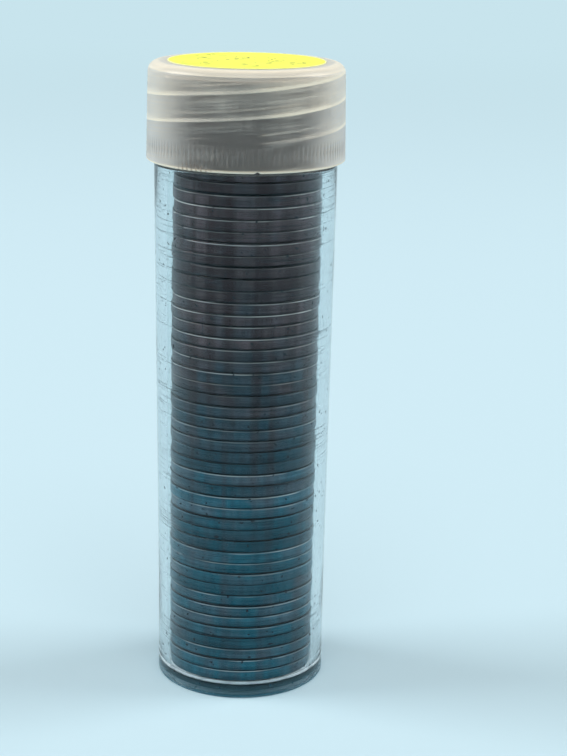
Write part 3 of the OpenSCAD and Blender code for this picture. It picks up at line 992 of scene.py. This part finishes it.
def fluorescent_paper(label):
    """Uncoated fluorescent yellow paper: matt, fibrous, rubbed and specked, with a pale cut edge."""
    material, output = new_material("fluorescent_yellow_paper")
    tree = material.node_tree
    coords = add(tree, "ShaderNodeTexCoord").outputs["Object"]
    place = add(tree, "ShaderNodeSeparateXYZ", {0: coords})
    flat = add(tree, "ShaderNodeCombineXYZ", {0: place.outputs[0], 1: place.outputs[1]})
    reach = add(tree, "ShaderNodeVectorMath", {0: flat}, operation="LENGTH").outputs["Value"]
    # Fibres of less than half a millimetre, and rubbing in patches of a few millimetres
    fibre = add(tree, "ShaderNodeTexNoise", {"Vector": coords, "Scale": 2500.0, "Detail": 4.0})
    rub = add(tree, "ShaderNodeTexNoise", {"Vector": coords, "Scale": 240.0, "Detail": 3.0})
    rub = add(tree, "ShaderNodeMapRange", {0: rub, 1: 0.42, 2: 0.70, 3: 0.0, 4: 0.9})
    # Specks of a quarter of a millimetre and thin strokes of a millimetre or two, mostly off the edge
    speck = add(tree, "ShaderNodeTexNoise", {"Vector": coords, "Scale": 1200.0, "Detail": 0.0})
    speck = add(tree, "ShaderNodeMapRange", {0: speck, 1: 0.68, 2: 0.72, 3: 0.0, 4: 0.95})
    slant = add(
        tree,
        "ShaderNodeMapping",
        {"Vector": coords, "Rotation": (0.0, 0.0, 0.35), "Scale": (360.0, 1700.0, 1.0)},
    )
    stroke = add(tree, "ShaderNodeTexNoise", {"Vector": slant, "Scale": 1.0, "Detail": 1.0})
    stroke = add(tree, "ShaderNodeMapRange", {0: stroke, 1: 0.67, 2: 0.73, 3: 0.0, 4: 0.8})
    soil = add(tree, "ShaderNodeMath", {0: speck, 1: stroke}, operation="MAXIMUM")
    # They lie in loose groups
    group = add(tree, "ShaderNodeTexNoise", {"Vector": coords, "Scale": 210.0, "Detail": 0.0})
    group = add(tree, "ShaderNodeMapRange", {0: group, 1: 0.43, 2: 0.50, 3: 0.0, 4: 1.0})
    radius = (LABEL_HIGH[0] - LABEL_LOW[0]) / 2
    middle = add(
        tree, "ShaderNodeMapRange", {0: reach, 1: 0.92 * radius, 2: 0.8 * radius, 3: 0.0, 4: 1.0}
    )
    for part in (group, middle):
        soil = add(tree, "ShaderNodeMath", {0: soil, 1: part}, operation="MULTIPLY")
    start, end = [radius - inset for inset in CUT_BORDER]
    cut = add(tree, "ShaderNodeMapRange", {0: reach, 1: start, 2: end, 3: 0.0, 4: 0.8})
    tone = linear(label.paper)
    for mask, tint in ((rub, label.rubbed), (soil, label.mark), (cut, label.core)):
        tone = add(
            tree, "ShaderNodeMix", {"Factor": mask, "A": tone, "B": linear(tint)}, data_type="RGBA"
        ).outputs["Result"]
    bump = add(tree, "ShaderNodeBump", {"Height": fibre, "Strength": 0.4, "Distance": FIBRE_RELIEF})
    paper = add(tree, "ShaderNodeBsdfPrincipled", {"Base Color": tone, "Roughness": 0.8, "Normal": bump})
    tree.links.new(paper.outputs[0], output.inputs[0])
    return material


def rim_wear_and_highlight(tree, own, within, chance, low):
    """The bright line along a coin's upper rim, worn bare and partly a painted highlight, and the patches
    in which a coin is rubbed.
    """
    # The upper rim is rubbed bare in a thin line with a painted highlight, stronger on some coins, and
    # painted shade sits in the gaps
    line = add(tree, "ShaderNodeMath", {0: within, 1: 0.90}, operation="SUBTRACT")
    line = add(tree, "ShaderNodeMath", {0: line}, operation="ABSOLUTE")
    line = add(tree, "ShaderNodeMapRange", {0: line, 1: 0.045, 2: 0.02, 3: 0.0, 4: 1.0})
    worn = add(tree, "ShaderNodeMapRange", {0: chance, 1: 0.15, 2: 0.9, 3: 0.0, 4: 0.85})
    rub = add(tree, "ShaderNodeTexNoise", {"Vector": own, "Scale": 190.0, "Detail": 2.0})
    rub = add(tree, "ShaderNodeMapRange", {0: rub, 1: 0.36, 2: 0.62, 3: 0.1, 4: 1.2})
    # Less so on the toned coins below
    fresh = add(tree, "ShaderNodeMapRange", {0: low, 1: 0.0, 2: 0.85, 3: 1.0, 4: 0.8})
    for part in (rub, fresh):
        worn = add(tree, "ShaderNodeMath", {0: worn, 1: part}, operation="MULTIPLY")
    line = add(tree, "ShaderNodeMath", {0: line, 1: worn}, operation="MULTIPLY", use_clamp=True)
    return line, rub


def gaps_and_faces(tree, within, lot, low, rub):
    """Painted shade in the gaps between the coins' edges, and the rubbed high places of their faces."""
    deep = add(tree, "ShaderNodeMapRange", {0: lot, 1: 0.15, 2: 1.0, 3: -0.04, 4: 0.2})
    slim = add(tree, "ShaderNodeMapRange", {0: low, 1: 0.0, 2: 0.85, 3: 1.0, 4: 0.6})
    deep = add(tree, "ShaderNodeMath", {0: deep, 1: slim}, operation="MULTIPLY")
    gap = add(tree, "ShaderNodeMath", {0: deep, 1: within}, operation="SUBTRACT")
    gap = add(tree, "ShaderNodeMapRange", {0: gap, 1: -0.03, 2: 0.02, 3: 0.0, 4: 1.0})
    crest = add(tree, "ShaderNodeMapRange", {0: within, 1: 0.955, 2: 0.98, 3: 0.0, 4: 1.0})
    grime = add(tree, "ShaderNodeMath", {0: gap, 1: crest}, operation="MAXIMUM")
    # On the faces the rims and the relief are rubbed instead, and their fields keep their tone
    side = add(tree, "ShaderNodeAttribute", attribute_name="side").outputs["Fac"]
    side = add(tree, "ShaderNodeMapRange", {0: side, 1: 0.75, 2: 0.95, 3: 0.0, 4: 1.0})
    grime = add(tree, "ShaderNodeMath", {0: grime, 1: side}, operation="MULTIPLY")
    high = add(tree, "ShaderNodeMath", {0: within, 1: 0.5}, operation="SUBTRACT")
    high = add(tree, "ShaderNodeMath", {0: high}, operation="ABSOLUTE")
    high = add(tree, "ShaderNodeMapRange", {0: high, 1: 0.42, 2: 0.47, 3: 0.0, 4: 0.8})
    high = add(tree, "ShaderNodeMath", {0: high, 1: rub}, operation="MULTIPLY")
    face = add(tree, "ShaderNodeMath", {0: 1.0, 1: side}, operation="SUBTRACT")
    high = add(tree, "ShaderNodeMath", {0: high, 1: face}, operation="MULTIPLY", use_clamp=True)
    return grime, high


def toned_zinc_steel(coins):
    """Zinc-coated steel, rolled, struck and handled: slate, toned blue-grey and brown, with bare rims;
    painted reflections, painted light, painted rim highlights and painted shade in the gaps are added.
    """
    material, output = new_material("toned_zinc_coated_steel")
    tree = material.node_tree
    coords = add(tree, "ShaderNodeTexCoord").outputs["Object"]
    height = add(tree, "ShaderNodeSeparateXYZ", {0: coords}).outputs[2]
    # Each coin has a tone of its own, from its number in the stack
    level = add(tree, "ShaderNodeMath", {0: height, 1: FLOOR_TOP}, operation="SUBTRACT")
    level = add(tree, "ShaderNodeMath", {0: level, 1: COIN_THICKNESS}, operation="DIVIDE")
    number = add(tree, "ShaderNodeMath", {0: level}, operation="FLOOR")
    within = add(tree, "ShaderNodeMath", {0: level, 1: number}, operation="SUBTRACT")
    lot = add(tree, "ShaderNodeTexWhiteNoise", {"W": number}, noise_dimensions="1D").outputs["Value"]
    other = add(tree, "ShaderNodeMath", {0: number, 1: 0.5}, operation="ADD")
    chance = add(tree, "ShaderNodeTexWhiteNoise", {"W": other}, noise_dimensions="1D").outputs["Value"]
    apart = add(tree, "ShaderNodeCombineXYZ", {0: lot, 1: chance})
    own = add(tree, "ShaderNodeVectorMath", {0: coords, 1: apart}, operation="ADD")
    # Patches of toning, about half a centimetre long
    patch = add(tree, "ShaderNodeTexNoise", {"Vector": own, "Scale": 170.0, "Detail": 3.0})
    # Blanking marks run up and down a coin's edge, half a millimetre apart
    drawn = add(tree, "ShaderNodeMapping", {"Vector": own, "Scale": (1700.0, 1700.0, 300.0)})
    grain = add(tree, "ShaderNodeTexNoise", {"Vector": drawn, "Scale": 1.0, "Detail": 3.0})
    # Rolling marks run round the edge
    rolled = add(tree, "ShaderNodeMapping", {"Vector": own, "Scale": (120.0, 120.0, 3600.0)})
    lines = add(tree, "ShaderNodeTexNoise", {"Vector": rolled, "Scale": 1.0, "Detail": 2.0})
    # Lower coins carry more blue-grey: blotches of toning, and a painted reflection that grows down the
    # stack
    low = add(
        tree,
        "ShaderNodeMapRange",
        {0: number, 1: 0.68 * len(COINS), 2: 0.3 * len(COINS), 3: 0.0, 4: 0.85},
    )
    blotch = add(tree, "ShaderNodeMapRange", {0: patch, 1: 0.35, 2: 0.65, 3: -0.28, 4: 0.28})
    blue = add(tree, "ShaderNodeMath", {0: low, 1: blotch}, operation="ADD", use_clamp=True)
    tone = add(
        tree,
        "ShaderNodeMix",
        {"Factor": blue, "A": linear(coins.slate), "B": linear(coins.blue)},
        data_type="RGBA",
    ).outputs["Result"]
    # Painted reflection: brown upright streaks of a millimetre or two run across the whole stack, fainter
    # below, joined by brown toning in patches on some upper coins
    column = add(tree, "ShaderNodeMapping", {"Vector": coords, "Scale": (560.0, 560.0, 22.0)})
    column = add(tree, "ShaderNodeTexNoise", {"Vector": column, "Scale": 1.0, "Detail": 2.0})
    run = add(tree, "ShaderNodeMapRange", {0: column, 1: 0.42, 2: 0.62, 3: 0.0, 4: 1.0})
    upper = add(tree, "ShaderNodeMapRange", {0: low, 1: 0.0, 2: 0.85, 3: 1.0, 4: 0.35})
    run = add(tree, "ShaderNodeMath", {0: run, 1: upper}, operation="MULTIPLY")
    warm = add(tree, "ShaderNodeMapRange", {0: patch, 1: 0.54, 2: 0.68, 3: 0.0, 4: 1.0})
    for part in (lot, upper):
        warm = add(tree, "ShaderNodeMath", {0: warm, 1: part}, operation="MULTIPLY")
    warm = add(tree, "ShaderNodeMath", {0: warm, 1: run}, operation="MAXIMUM")
    tone = add(
        tree, "ShaderNodeMix", {"Factor": warm, "A": tone, "B": linear(coins.brown)}, data_type="RGBA"
    ).outputs["Result"]
    shade = add(tree, "ShaderNodeMapRange", {0: chance, 1: 0.0, 2: 1.0, 3: 0.7, 4: 1.12})
    streak = add(tree, "ShaderNodeMapRange", {0: grain, 1: 0.3, 2: 0.7, 3: 0.84, 4: 1.16})
    wipe = add(tree, "ShaderNodeMapRange", {0: lines, 1: 0.3, 2: 0.7, 3: 0.76, 4: 1.24})
    # Painted light: the toned coins below are painted lighter, and so are the few in the cap's shade
    painted_light_below = add(tree, "ShaderNodeMapRange", {0: low, 1: 0.3, 2: 0.85, 3: 1.0, 4: 1.45})
    painted_light_under_cap = add(
        tree, "ShaderNodeMapRange", {0: number, 1: 0.75 * len(COINS), 2: 0.9 * len(COINS), 3: 1.0, 4: 1.3}
    )
    for part in (streak, wipe, painted_light_below, painted_light_under_cap):
        shade = add(tree, "ShaderNodeMath", {0: shade, 1: part}, operation="MULTIPLY")
    tone = add(tree, "ShaderNodeVectorMath", {0: tone, "Scale": shade}, operation="SCALE")
    line, rub = rim_wear_and_highlight(tree, own, within, chance, low)
    tone = add(
        tree, "ShaderNodeMix", {"Factor": line, "A": tone, "B": linear(coins.bare)}, data_type="RGBA"
    ).outputs["Result"]
    grime, high = gaps_and_faces(tree, within, lot, low, rub)
    # The rubbed high places, and the painted shade in the gaps
    for mask, tint in ((high, coins.bare), (grime, coins.gap_shade)):
        tone = add(
            tree, "ShaderNodeMix", {"Factor": mask, "A": tone, "B": linear(tint)}, data_type="RGBA"
        ).outputs["Result"]
    rough = add(tree, "ShaderNodeMapRange", {0: patch, 1: 0.3, 2: 0.7, 3: 0.40, 4: 0.58})
    bump = add(tree, "ShaderNodeBump", {"Height": grain, "Strength": 0.25, "Distance": SCRATCH_RELIEF})
    metal = add(
        tree,
        "ShaderNodeBsdfPrincipled",
        {"Base Color": tone, "Metallic": 0.9, "Roughness": rough, "Normal": bump},
    )
    tree.links.new(metal.outputs[0], output.inputs[0])
    return material


class COINTUBE_OT_mould_tube(bpy.types.Operator):
    """Moulds the clear tube: foot, floor, wall, neck with thread ridges, and rim"""

    bl_idname = "coin_tube.mould_tube"
    bl_label = "Mould Tube"

    def execute(self, context):
        tube = context.scene.coin_tube
        thread = context.scene.coin_tube_thread
        bore = COIN_RADIUS + tube.bore_gap
        foot = bore + tube.wall
        rim_bore = bore + tube.bore_draft
        neck = rim_bore + tube.neck_wall
        shoulder = CAP_BOTTOM - tube.shoulder_gap
        ring = foot - tube.foot_ring
        channel = FLOOR_TOP - tube.channel
        gate, low = tube.gate_radius, tube.gate_clear
        recess, edge, corner = tube.foot_recess, tube.edge, tube.corner
        toe, top = tube.foot_edge, tube.foot_height
        # Points of each stretch in turn, and whether the thread deforms it
        sections = [
            ([(0.0, low), (gate, low), (gate, recess)], 0),
            (stretch((ring - edge, recess), (ring, recess), 1), 0),
            (stretch((ring, 0.0), (foot - toe, 0.0), 2), 0),
            (arc((foot - toe, toe), toe, -90, 0, FOOT_EDGE_STEPS)[1:], 0),
            (stretch((foot, top / 2), (foot, top), 1), 0),
            (stretch((foot, top), (BODY_RADIUS, shoulder - edge), BODY_STEPS)[1:], 0),
            (arc((BODY_RADIUS - edge, shoulder - edge), edge, 0, 90, EDGE_STEPS)[1:], 0),
            (arc((neck + edge, shoulder + edge), edge, 270, 180, EDGE_STEPS), 0),
            (stretch((neck, shoulder + 2 * edge), (neck, RIM_HEIGHT - edge), NECK_STEPS), 1),
            (arc((neck - edge, RIM_HEIGHT - edge), edge, 0, 90, EDGE_STEPS)[1:], 0),
            (arc((rim_bore + edge, RIM_HEIGHT - edge), edge, 90, 180, EDGE_STEPS), 0),
            (stretch((rim_bore, RIM_HEIGHT - edge), (bore, channel + corner), BORE_STEPS)[1:], 0),
            (arc((bore - corner, channel + corner), corner, 0, -90, EDGE_STEPS)[1:], 0),
            ([(bore - 2 * corner, channel), (bore - 3 * corner, FLOOR_TOP)], 0),
            ([(bore / 2, FLOOR_TOP), (0.0, FLOOR_TOP)], 0),
        ]
        profile = [point for points, _ in sections for point in points]
        threaded = [float(mark) for points, mark in sections for _ in points]
        mesh = lathe("tube_shell", profile, tube.segments, {"threaded": threaded})
        material = clear_moulded_polystyrene(tube)
        piece = shown("tube_shell", mesh, material)
        room = thread.height + thread.gap
        shift = thread.root - (thread.root - thread.tip) / 2 * room / thread.height + thread.flank_gap
        lag = FULL_TURN * (thread.neck_start - thread.cap_start - shift) / thread.lead
        baked(
            piece,
            thread_tree(),
            {
                "Lead": thread.lead,
                "Pitch": thread.lead / thread.starts,
                "Height": thread.height,
                "Root half": thread.root / 2,
                "Tip half": thread.tip / 2,
                "Start height": CAP_BOTTOM + thread.neck_start,
                "Start angle": thread.first + lag,
                "Turns": thread.neck_turns,
                "Ease": thread.ease,
                "Material": material,
            },
            sharp=TUBE_CREASE,
        )
        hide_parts("tube")
        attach(piece, "tube")
        return {"FINISHED"}


class COINTUBE_OT_mould_cap(bpy.types.Operator):
    """Moulds the screw cap: top plate, rounded shoulder, and skirt with thread ridges and grip ribs"""

    bl_idname = "coin_tube.mould_cap"
    bl_label = "Mould Cap"

    def execute(self, context):
        cap = context.scene.coin_tube_cap
        thread = context.scene.coin_tube_thread
        inner = SKIRT_RADIUS - cap.skirt
        crown = SKIRT_RADIUS - cap.draft
        under = CAP_TOP - cap.plate
        low = CAP_BOTTOM + cap.rib_low
        high = CAP_BOTTOM + cap.rib_high
        drop = CAP_TOP - cap.shoulder - CAP_BOTTOM - cap.edge

        def wall(height):
            return SKIRT_RADIUS - cap.draft * (height - CAP_BOTTOM - cap.edge) / drop

        # The ribs rise from nothing at both ends of their band to full height in its middle
        shares = [i / RIB_STEPS for i in range(RIB_STEPS + 1)]
        heights = [low + (high - low) * part for part in shares]
        ribbed = [2.0 * min(part, 1 - part) for part in shares]
        left = CAP_TOP - cap.shoulder - high
        upper = [high + left * i / WALL_STEPS for i in range(1, WALL_STEPS + 1)]
        edge, bend = cap.edge, cap.shoulder
        # Points of each stretch in turn, their rib heights, and whether thread and nick deform it
        sections = [
            ([(0.0, under), (inner / 2, under), (inner - edge, under)], None, 0, 0),
            (arc((inner - edge, under - edge), edge, 90, 0, PLATE_EDGE_STEPS)[1:], None, 0, 0),
            (stretch((inner, under - edge), (inner, CAP_BOTTOM + edge), SKIRT_STEPS)[1:], None, 1, 0),
            (arc((inner + edge, CAP_BOTTOM + edge), edge, 180, 270, SKIRT_EDGE_STEPS)[1:], None, 0, 1),
            (arc((SKIRT_RADIUS - edge, CAP_BOTTOM + edge), edge, -90, 0, SKIRT_EDGE_STEPS), None, 0, 1),
            ([(wall(z), z) for z in heights], ribbed, 0, 0),
            ([(wall(z), z) for z in upper], None, 0, 0),
            (arc((crown - bend, CAP_TOP - bend), bend, 0, 90, SHOULDER_STEPS)[1:], None, 0, 0),
            ([(crown / 2, CAP_TOP), (0.0, CAP_TOP)], None, 0, 0),
        ]
        profile = [point for points, _, _, _ in sections for point in points]
        weights = {
            "threaded": [float(mark) for points, _, mark, _ in sections for _ in points],
            "gripped": [w for points, grip, _, _ in sections for w in (grip or [0.0] * len(points))],
            "edge": [float(mark) for points, _, _, mark in sections for _ in points],
        }
        mesh = lathe("cap_shell", profile, cap.ribs * cap.ribs_per_segment, weights)
        material = natural_moulded_polyethylene(cap, thread)
        piece = shown("cap_shell", mesh, material)
        baked(
            piece,
            thread_tree(),
            {
                "Lead": thread.lead,
                "Pitch": thread.lead / thread.starts,
                "Height": -thread.height,
                "Root half": thread.root / 2,
                "Tip half": thread.tip / 2,
                "Start height": CAP_BOTTOM + thread.cap_start,
                "Start angle": thread.first,
                "Turns": thread.cap_turns,
                "Ease": thread.ease,
                "Material": material,
            },
        )
        baked(
            piece,
            rib_tree(),
            {
                "Ribs": float(cap.ribs),
                "Rib height": cap.rib_height,
                "Nick angle": cap.nick_angle,
                "Nick width": NICK_WIDTH,
                "Nick depth": cap.nick_depth,
                "Material": material,
            },
            sharp=CAP_CREASE,
        )
        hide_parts("cap")
        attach(piece, "cap")
        return {"FINISHED"}


class COINTUBE_OT_stick_label(bpy.types.Operator):
    """Sticks the round paper label on the cap"""

    bl_idname = "coin_tube.stick_label"
    bl_label = "Stick Label"

    def execute(self, context):
        label = context.scene.coin_tube_label
        radius = (LABEL_HIGH[0] - LABEL_LOW[0]) / 2
        low = LABEL_LOW[2]
        thickness = LABEL_HIGH[2] - LABEL_LOW[2]
        lift = min(label.curl, thickness / 2)
        edge = thickness / 4
        profile = [
            (0.0, low),
            (radius - edge, low),
            *arc((radius - edge, low + edge), edge, -90, 0, PAPER_EDGE_STEPS),
            *arc((radius - edge, low + thickness - edge), edge, 0, 90, PAPER_EDGE_STEPS),
            (radius - 4 * thickness, low + thickness - lift),
            (radius / 2, low + thickness - lift),
            (0.0, low + thickness - lift),
        ]
        mesh = lathe("paper_label", profile, label.segments)
        piece = shown("paper_label", mesh, fluorescent_paper(label))
        mesh.set_sharp_from_angle(angle=PAPER_CREASE)
        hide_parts("label")
        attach(piece, "cap")
        return {"FINISHED"}


class COINTUBE_OT_strike_coins(bpy.types.Operator):
    """Strikes the coins, each with its own wear, and stacks them where the frame has them"""

    bl_idname = "coin_tube.strike_coins"
    bl_label = "Strike Coins"

    def execute(self, context):
        coins = context.scene.coin_tube_coins
        material = toned_zinc_steel(coins)
        tree = coin_face_tree()
        draw = random.Random(coins.seed)
        half = COIN_THICKNESS / 2
        field = half - coins.field_drop
        inside = COIN_RADIUS - coins.rim
        for node in COINS:
            low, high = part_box(node)
            top_edge = draw.uniform(coins.edge_least, coins.edge_most)
            low_edge = 2.5 * draw.uniform(coins.edge_least, coins.edge_most)
            turn = draw.uniform(0, FULL_TURN)
            around = [
                *arc((COIN_RADIUS - low_edge, low_edge - half), low_edge, -90, 0, COIN_EDGE_STEPS),
                *arc((COIN_RADIUS - top_edge, half - top_edge), top_edge, 0, 90, COIN_EDGE_STEPS),
            ]
            below = [(0.0, -field), (inside - coins.field_drop, -field), (inside, -half)]
            above = [(inside, half), (inside - coins.field_drop, field), (0.0, field)]
            profile = [*below, *around, *above]
            sides = [0.0] * len(below) + [1.0] * len(around) + [0.0] * len(above)
            name = node + "_struck"
            mesh = lathe(name, profile, coins.segments, {"side": sides})
            piece = shown(name, mesh, material)
            baked(
                piece,
                tree,
                {
                    "Field height": field,
                    "Bead ring": inside - coins.bead_inset,
                    "Bead radius": coins.bead_radius,
                    "Wreath radius": coins.wreath_radius,
                    "Leaf length": coins.leaf_length,
                    "Rosette radius": coins.rosette_radius,
                    "Beads": coins.beads,
                    "Leaves": coins.leaves,
                    "Petals": coins.petals,
                    "Material": material,
                },
                sharp=COIN_CREASE,
            )
            middle = Vector([(a + b) / 2 for a, b in zip(low, high)])
            piece.data.transform(Matrix.Translation(middle) @ Matrix.Rotation(turn, 4, "Z"))
            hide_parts(node)
            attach(piece, "coin_stack")
        return {"FINISHED"}


def seen_ray(tree):
    """1 for rays that the camera sees, straight, mirrored or through clear plastic, and 0 for others."""
    path = add(tree, "ShaderNodeLightPath").outputs
    seen = path["Is Camera Ray"]
    for ray in ("Is Glossy Ray", "Is Transmission Ray"):
        seen = add(tree, "ShaderNodeMath", {0: seen, 1: path[ray]}, operation="MAXIMUM")
    return seen


class COINTUBE_OT_set_stage(bpy.types.Operator):
    """Lays the pale floor, hangs the soft lights and sets the camera"""

    bl_idname = "coin_tube.set_stage"
    bl_label = "Set Stage"

    def execute(self, context):
        stage = context.scene.coin_tube_stage
        scene = context.scene
        scene.view_settings.view_transform = "Standard"
        material, output = new_material("pale_matt_floor")
        tree = material.node_tree
        paint = add(
            tree,
            "ShaderNodeBsdfPrincipled",
            {"Base Color": linear(stage.floor_colour), "Roughness": 1.0, "Specular IOR Level": 0.0},
        )
        # Far from the object the eye sees an even backdrop, also in the clear plastic and the metal
        coords = add(tree, "ShaderNodeTexCoord").outputs["Object"]
        away = add(tree, "ShaderNodeVectorMath", {0: coords}, operation="LENGTH").outputs["Value"]
        far = add(
            tree, "ShaderNodeMapRange", {0: away, 1: stage.fade_start, 2: stage.fade_end, 3: 0.0, 4: 1.0},
            interpolation_type="SMOOTHSTEP",
        )
        far = add(tree, "ShaderNodeMath", {0: far, 1: seen_ray(tree)}, operation="MULTIPLY")
        even = add(tree, "ShaderNodeEmission", {"Color": linear(stage.backdrop), "Strength": 1.0})
        ground = add(tree, "ShaderNodeMixShader", {0: far, 1: paint, 2: even})
        tree.links.new(ground.outputs[0], output.inputs[0])
        half = stage.floor_size / 2
        mesh = bpy.data.meshes.new("floor")
        level = -stage.floor_drop
        corners = [(-half, -half, level), (half, -half, level), (half, half, level), (-half, half, level)]
        mesh.from_pydata(corners, [], [(0, 1, 2, 3)])
        mesh.materials.append(material)
        floor = bpy.data.objects.new("floor", mesh)
        scene.collection.objects.link(floor)

        world = bpy.data.worlds.new("studio")
        scene.world = world
        world.use_nodes = True
        world.node_tree.nodes.clear()
        tree = world.node_tree
        air = add(
            tree, "ShaderNodeBackground", {"Color": linear(stage.air_colour), "Strength": WORLD_LEVEL}
        )
        drop = add(tree, "ShaderNodeBackground", {"Color": linear(stage.backdrop), "Strength": 1.0})
        both = add(
            tree, "ShaderNodeMixShader", {0: seen_ray(tree), 1: air.outputs[0], 2: drop.outputs[0]}
        )
        room = add(tree, "ShaderNodeOutputWorld")
        tree.links.new(both.outputs[0], room.inputs[0])

        for name, place, width, depth, power in LAMPS:
            lamp = bpy.data.lights.new(name, "AREA")
            lamp.shape = "RECTANGLE"
            lamp.size = width
            lamp.size_y = depth
            lamp.energy = power
            holder = bpy.data.objects.new(name, lamp)
            holder.location = place
            holder.rotation_euler = (AIM - Vector(place)).to_track_quat("-Z", "Y").to_euler()
            scene.collection.objects.link(holder)

        camera = bpy.data.cameras.new("camera")
        camera.sensor_fit = "VERTICAL"
        camera.sensor_height = SENSOR
        camera.lens = stage.focal_pixels * SENSOR / stage.frame_pixels
        camera.clip_start = CLIP_NEAR
        forward = Vector(
            (
                math.sin(stage.yaw) * math.cos(stage.pitch),
                math.cos(stage.yaw) * math.cos(stage.pitch),
                -math.sin(stage.pitch),
            )
        )
        right = forward.cross(Vector((0, 0, 1))).normalized()
        up = right.cross(forward)
        lean_right = right * math.cos(stage.roll) + up * math.sin(stage.roll)
        lean_up = up * math.cos(stage.roll) - right * math.sin(stage.roll)
        turn = Matrix((lean_right, lean_up, -forward)).transposed().to_4x4()
        holder = bpy.data.objects.new("camera", camera)
        holder.matrix_world = Matrix.Translation((0, -stage.eye_distance, stage.eye_height)) @ turn
        scene.collection.objects.link(holder)
        scene.camera = holder
        return {"FINISHED"}


class COINTUBE_PT_panel(bpy.types.Panel):
    """Lists the coin tube's settings and steps"""

    bl_idname = "COINTUBE_PT_panel"
    bl_label = "Coin Tube"
    bl_space_type = "VIEW_3D"
    bl_region_type = "UI"
    bl_category = "Coin Tube"

    def draw(self, context):
        for step in STEPS:
            self.layout.operator(step.bl_idname)
        for key, group in SETTINGS.items():
            box = self.layout.box()
            for name in group.__annotations__:
                box.prop(getattr(context.scene, key), name)


STEPS = [
    COINTUBE_OT_mould_tube,
    COINTUBE_OT_mould_cap,
    COINTUBE_OT_stick_label,
    COINTUBE_OT_strike_coins,
    COINTUBE_OT_set_stage,
]
CLASSES = [*SETTINGS.values(), *STEPS, COINTUBE_PT_panel]


def register():
    for item in CLASSES:
        bpy.utils.register_class(item)
    for key, group in SETTINGS.items():
        setattr(bpy.types.Scene, key, bpy.props.PointerProperty(type=group))


def unregister():
    for key in SETTINGS:
        delattr(bpy.types.Scene, key)
    for item in reversed(CLASSES):
        bpy.utils.unregister_class(item)


def main():
    register()
    bpy.ops.coin_tube.mould_tube()
    bpy.ops.coin_tube.mould_cap()
    bpy.ops.coin_tube.stick_label()
    bpy.ops.coin_tube.strike_coins()
    bpy.ops.coin_tube.set_stage()
    bpy.context.view_layer.update()


if __name__ == "__main__":
    main()
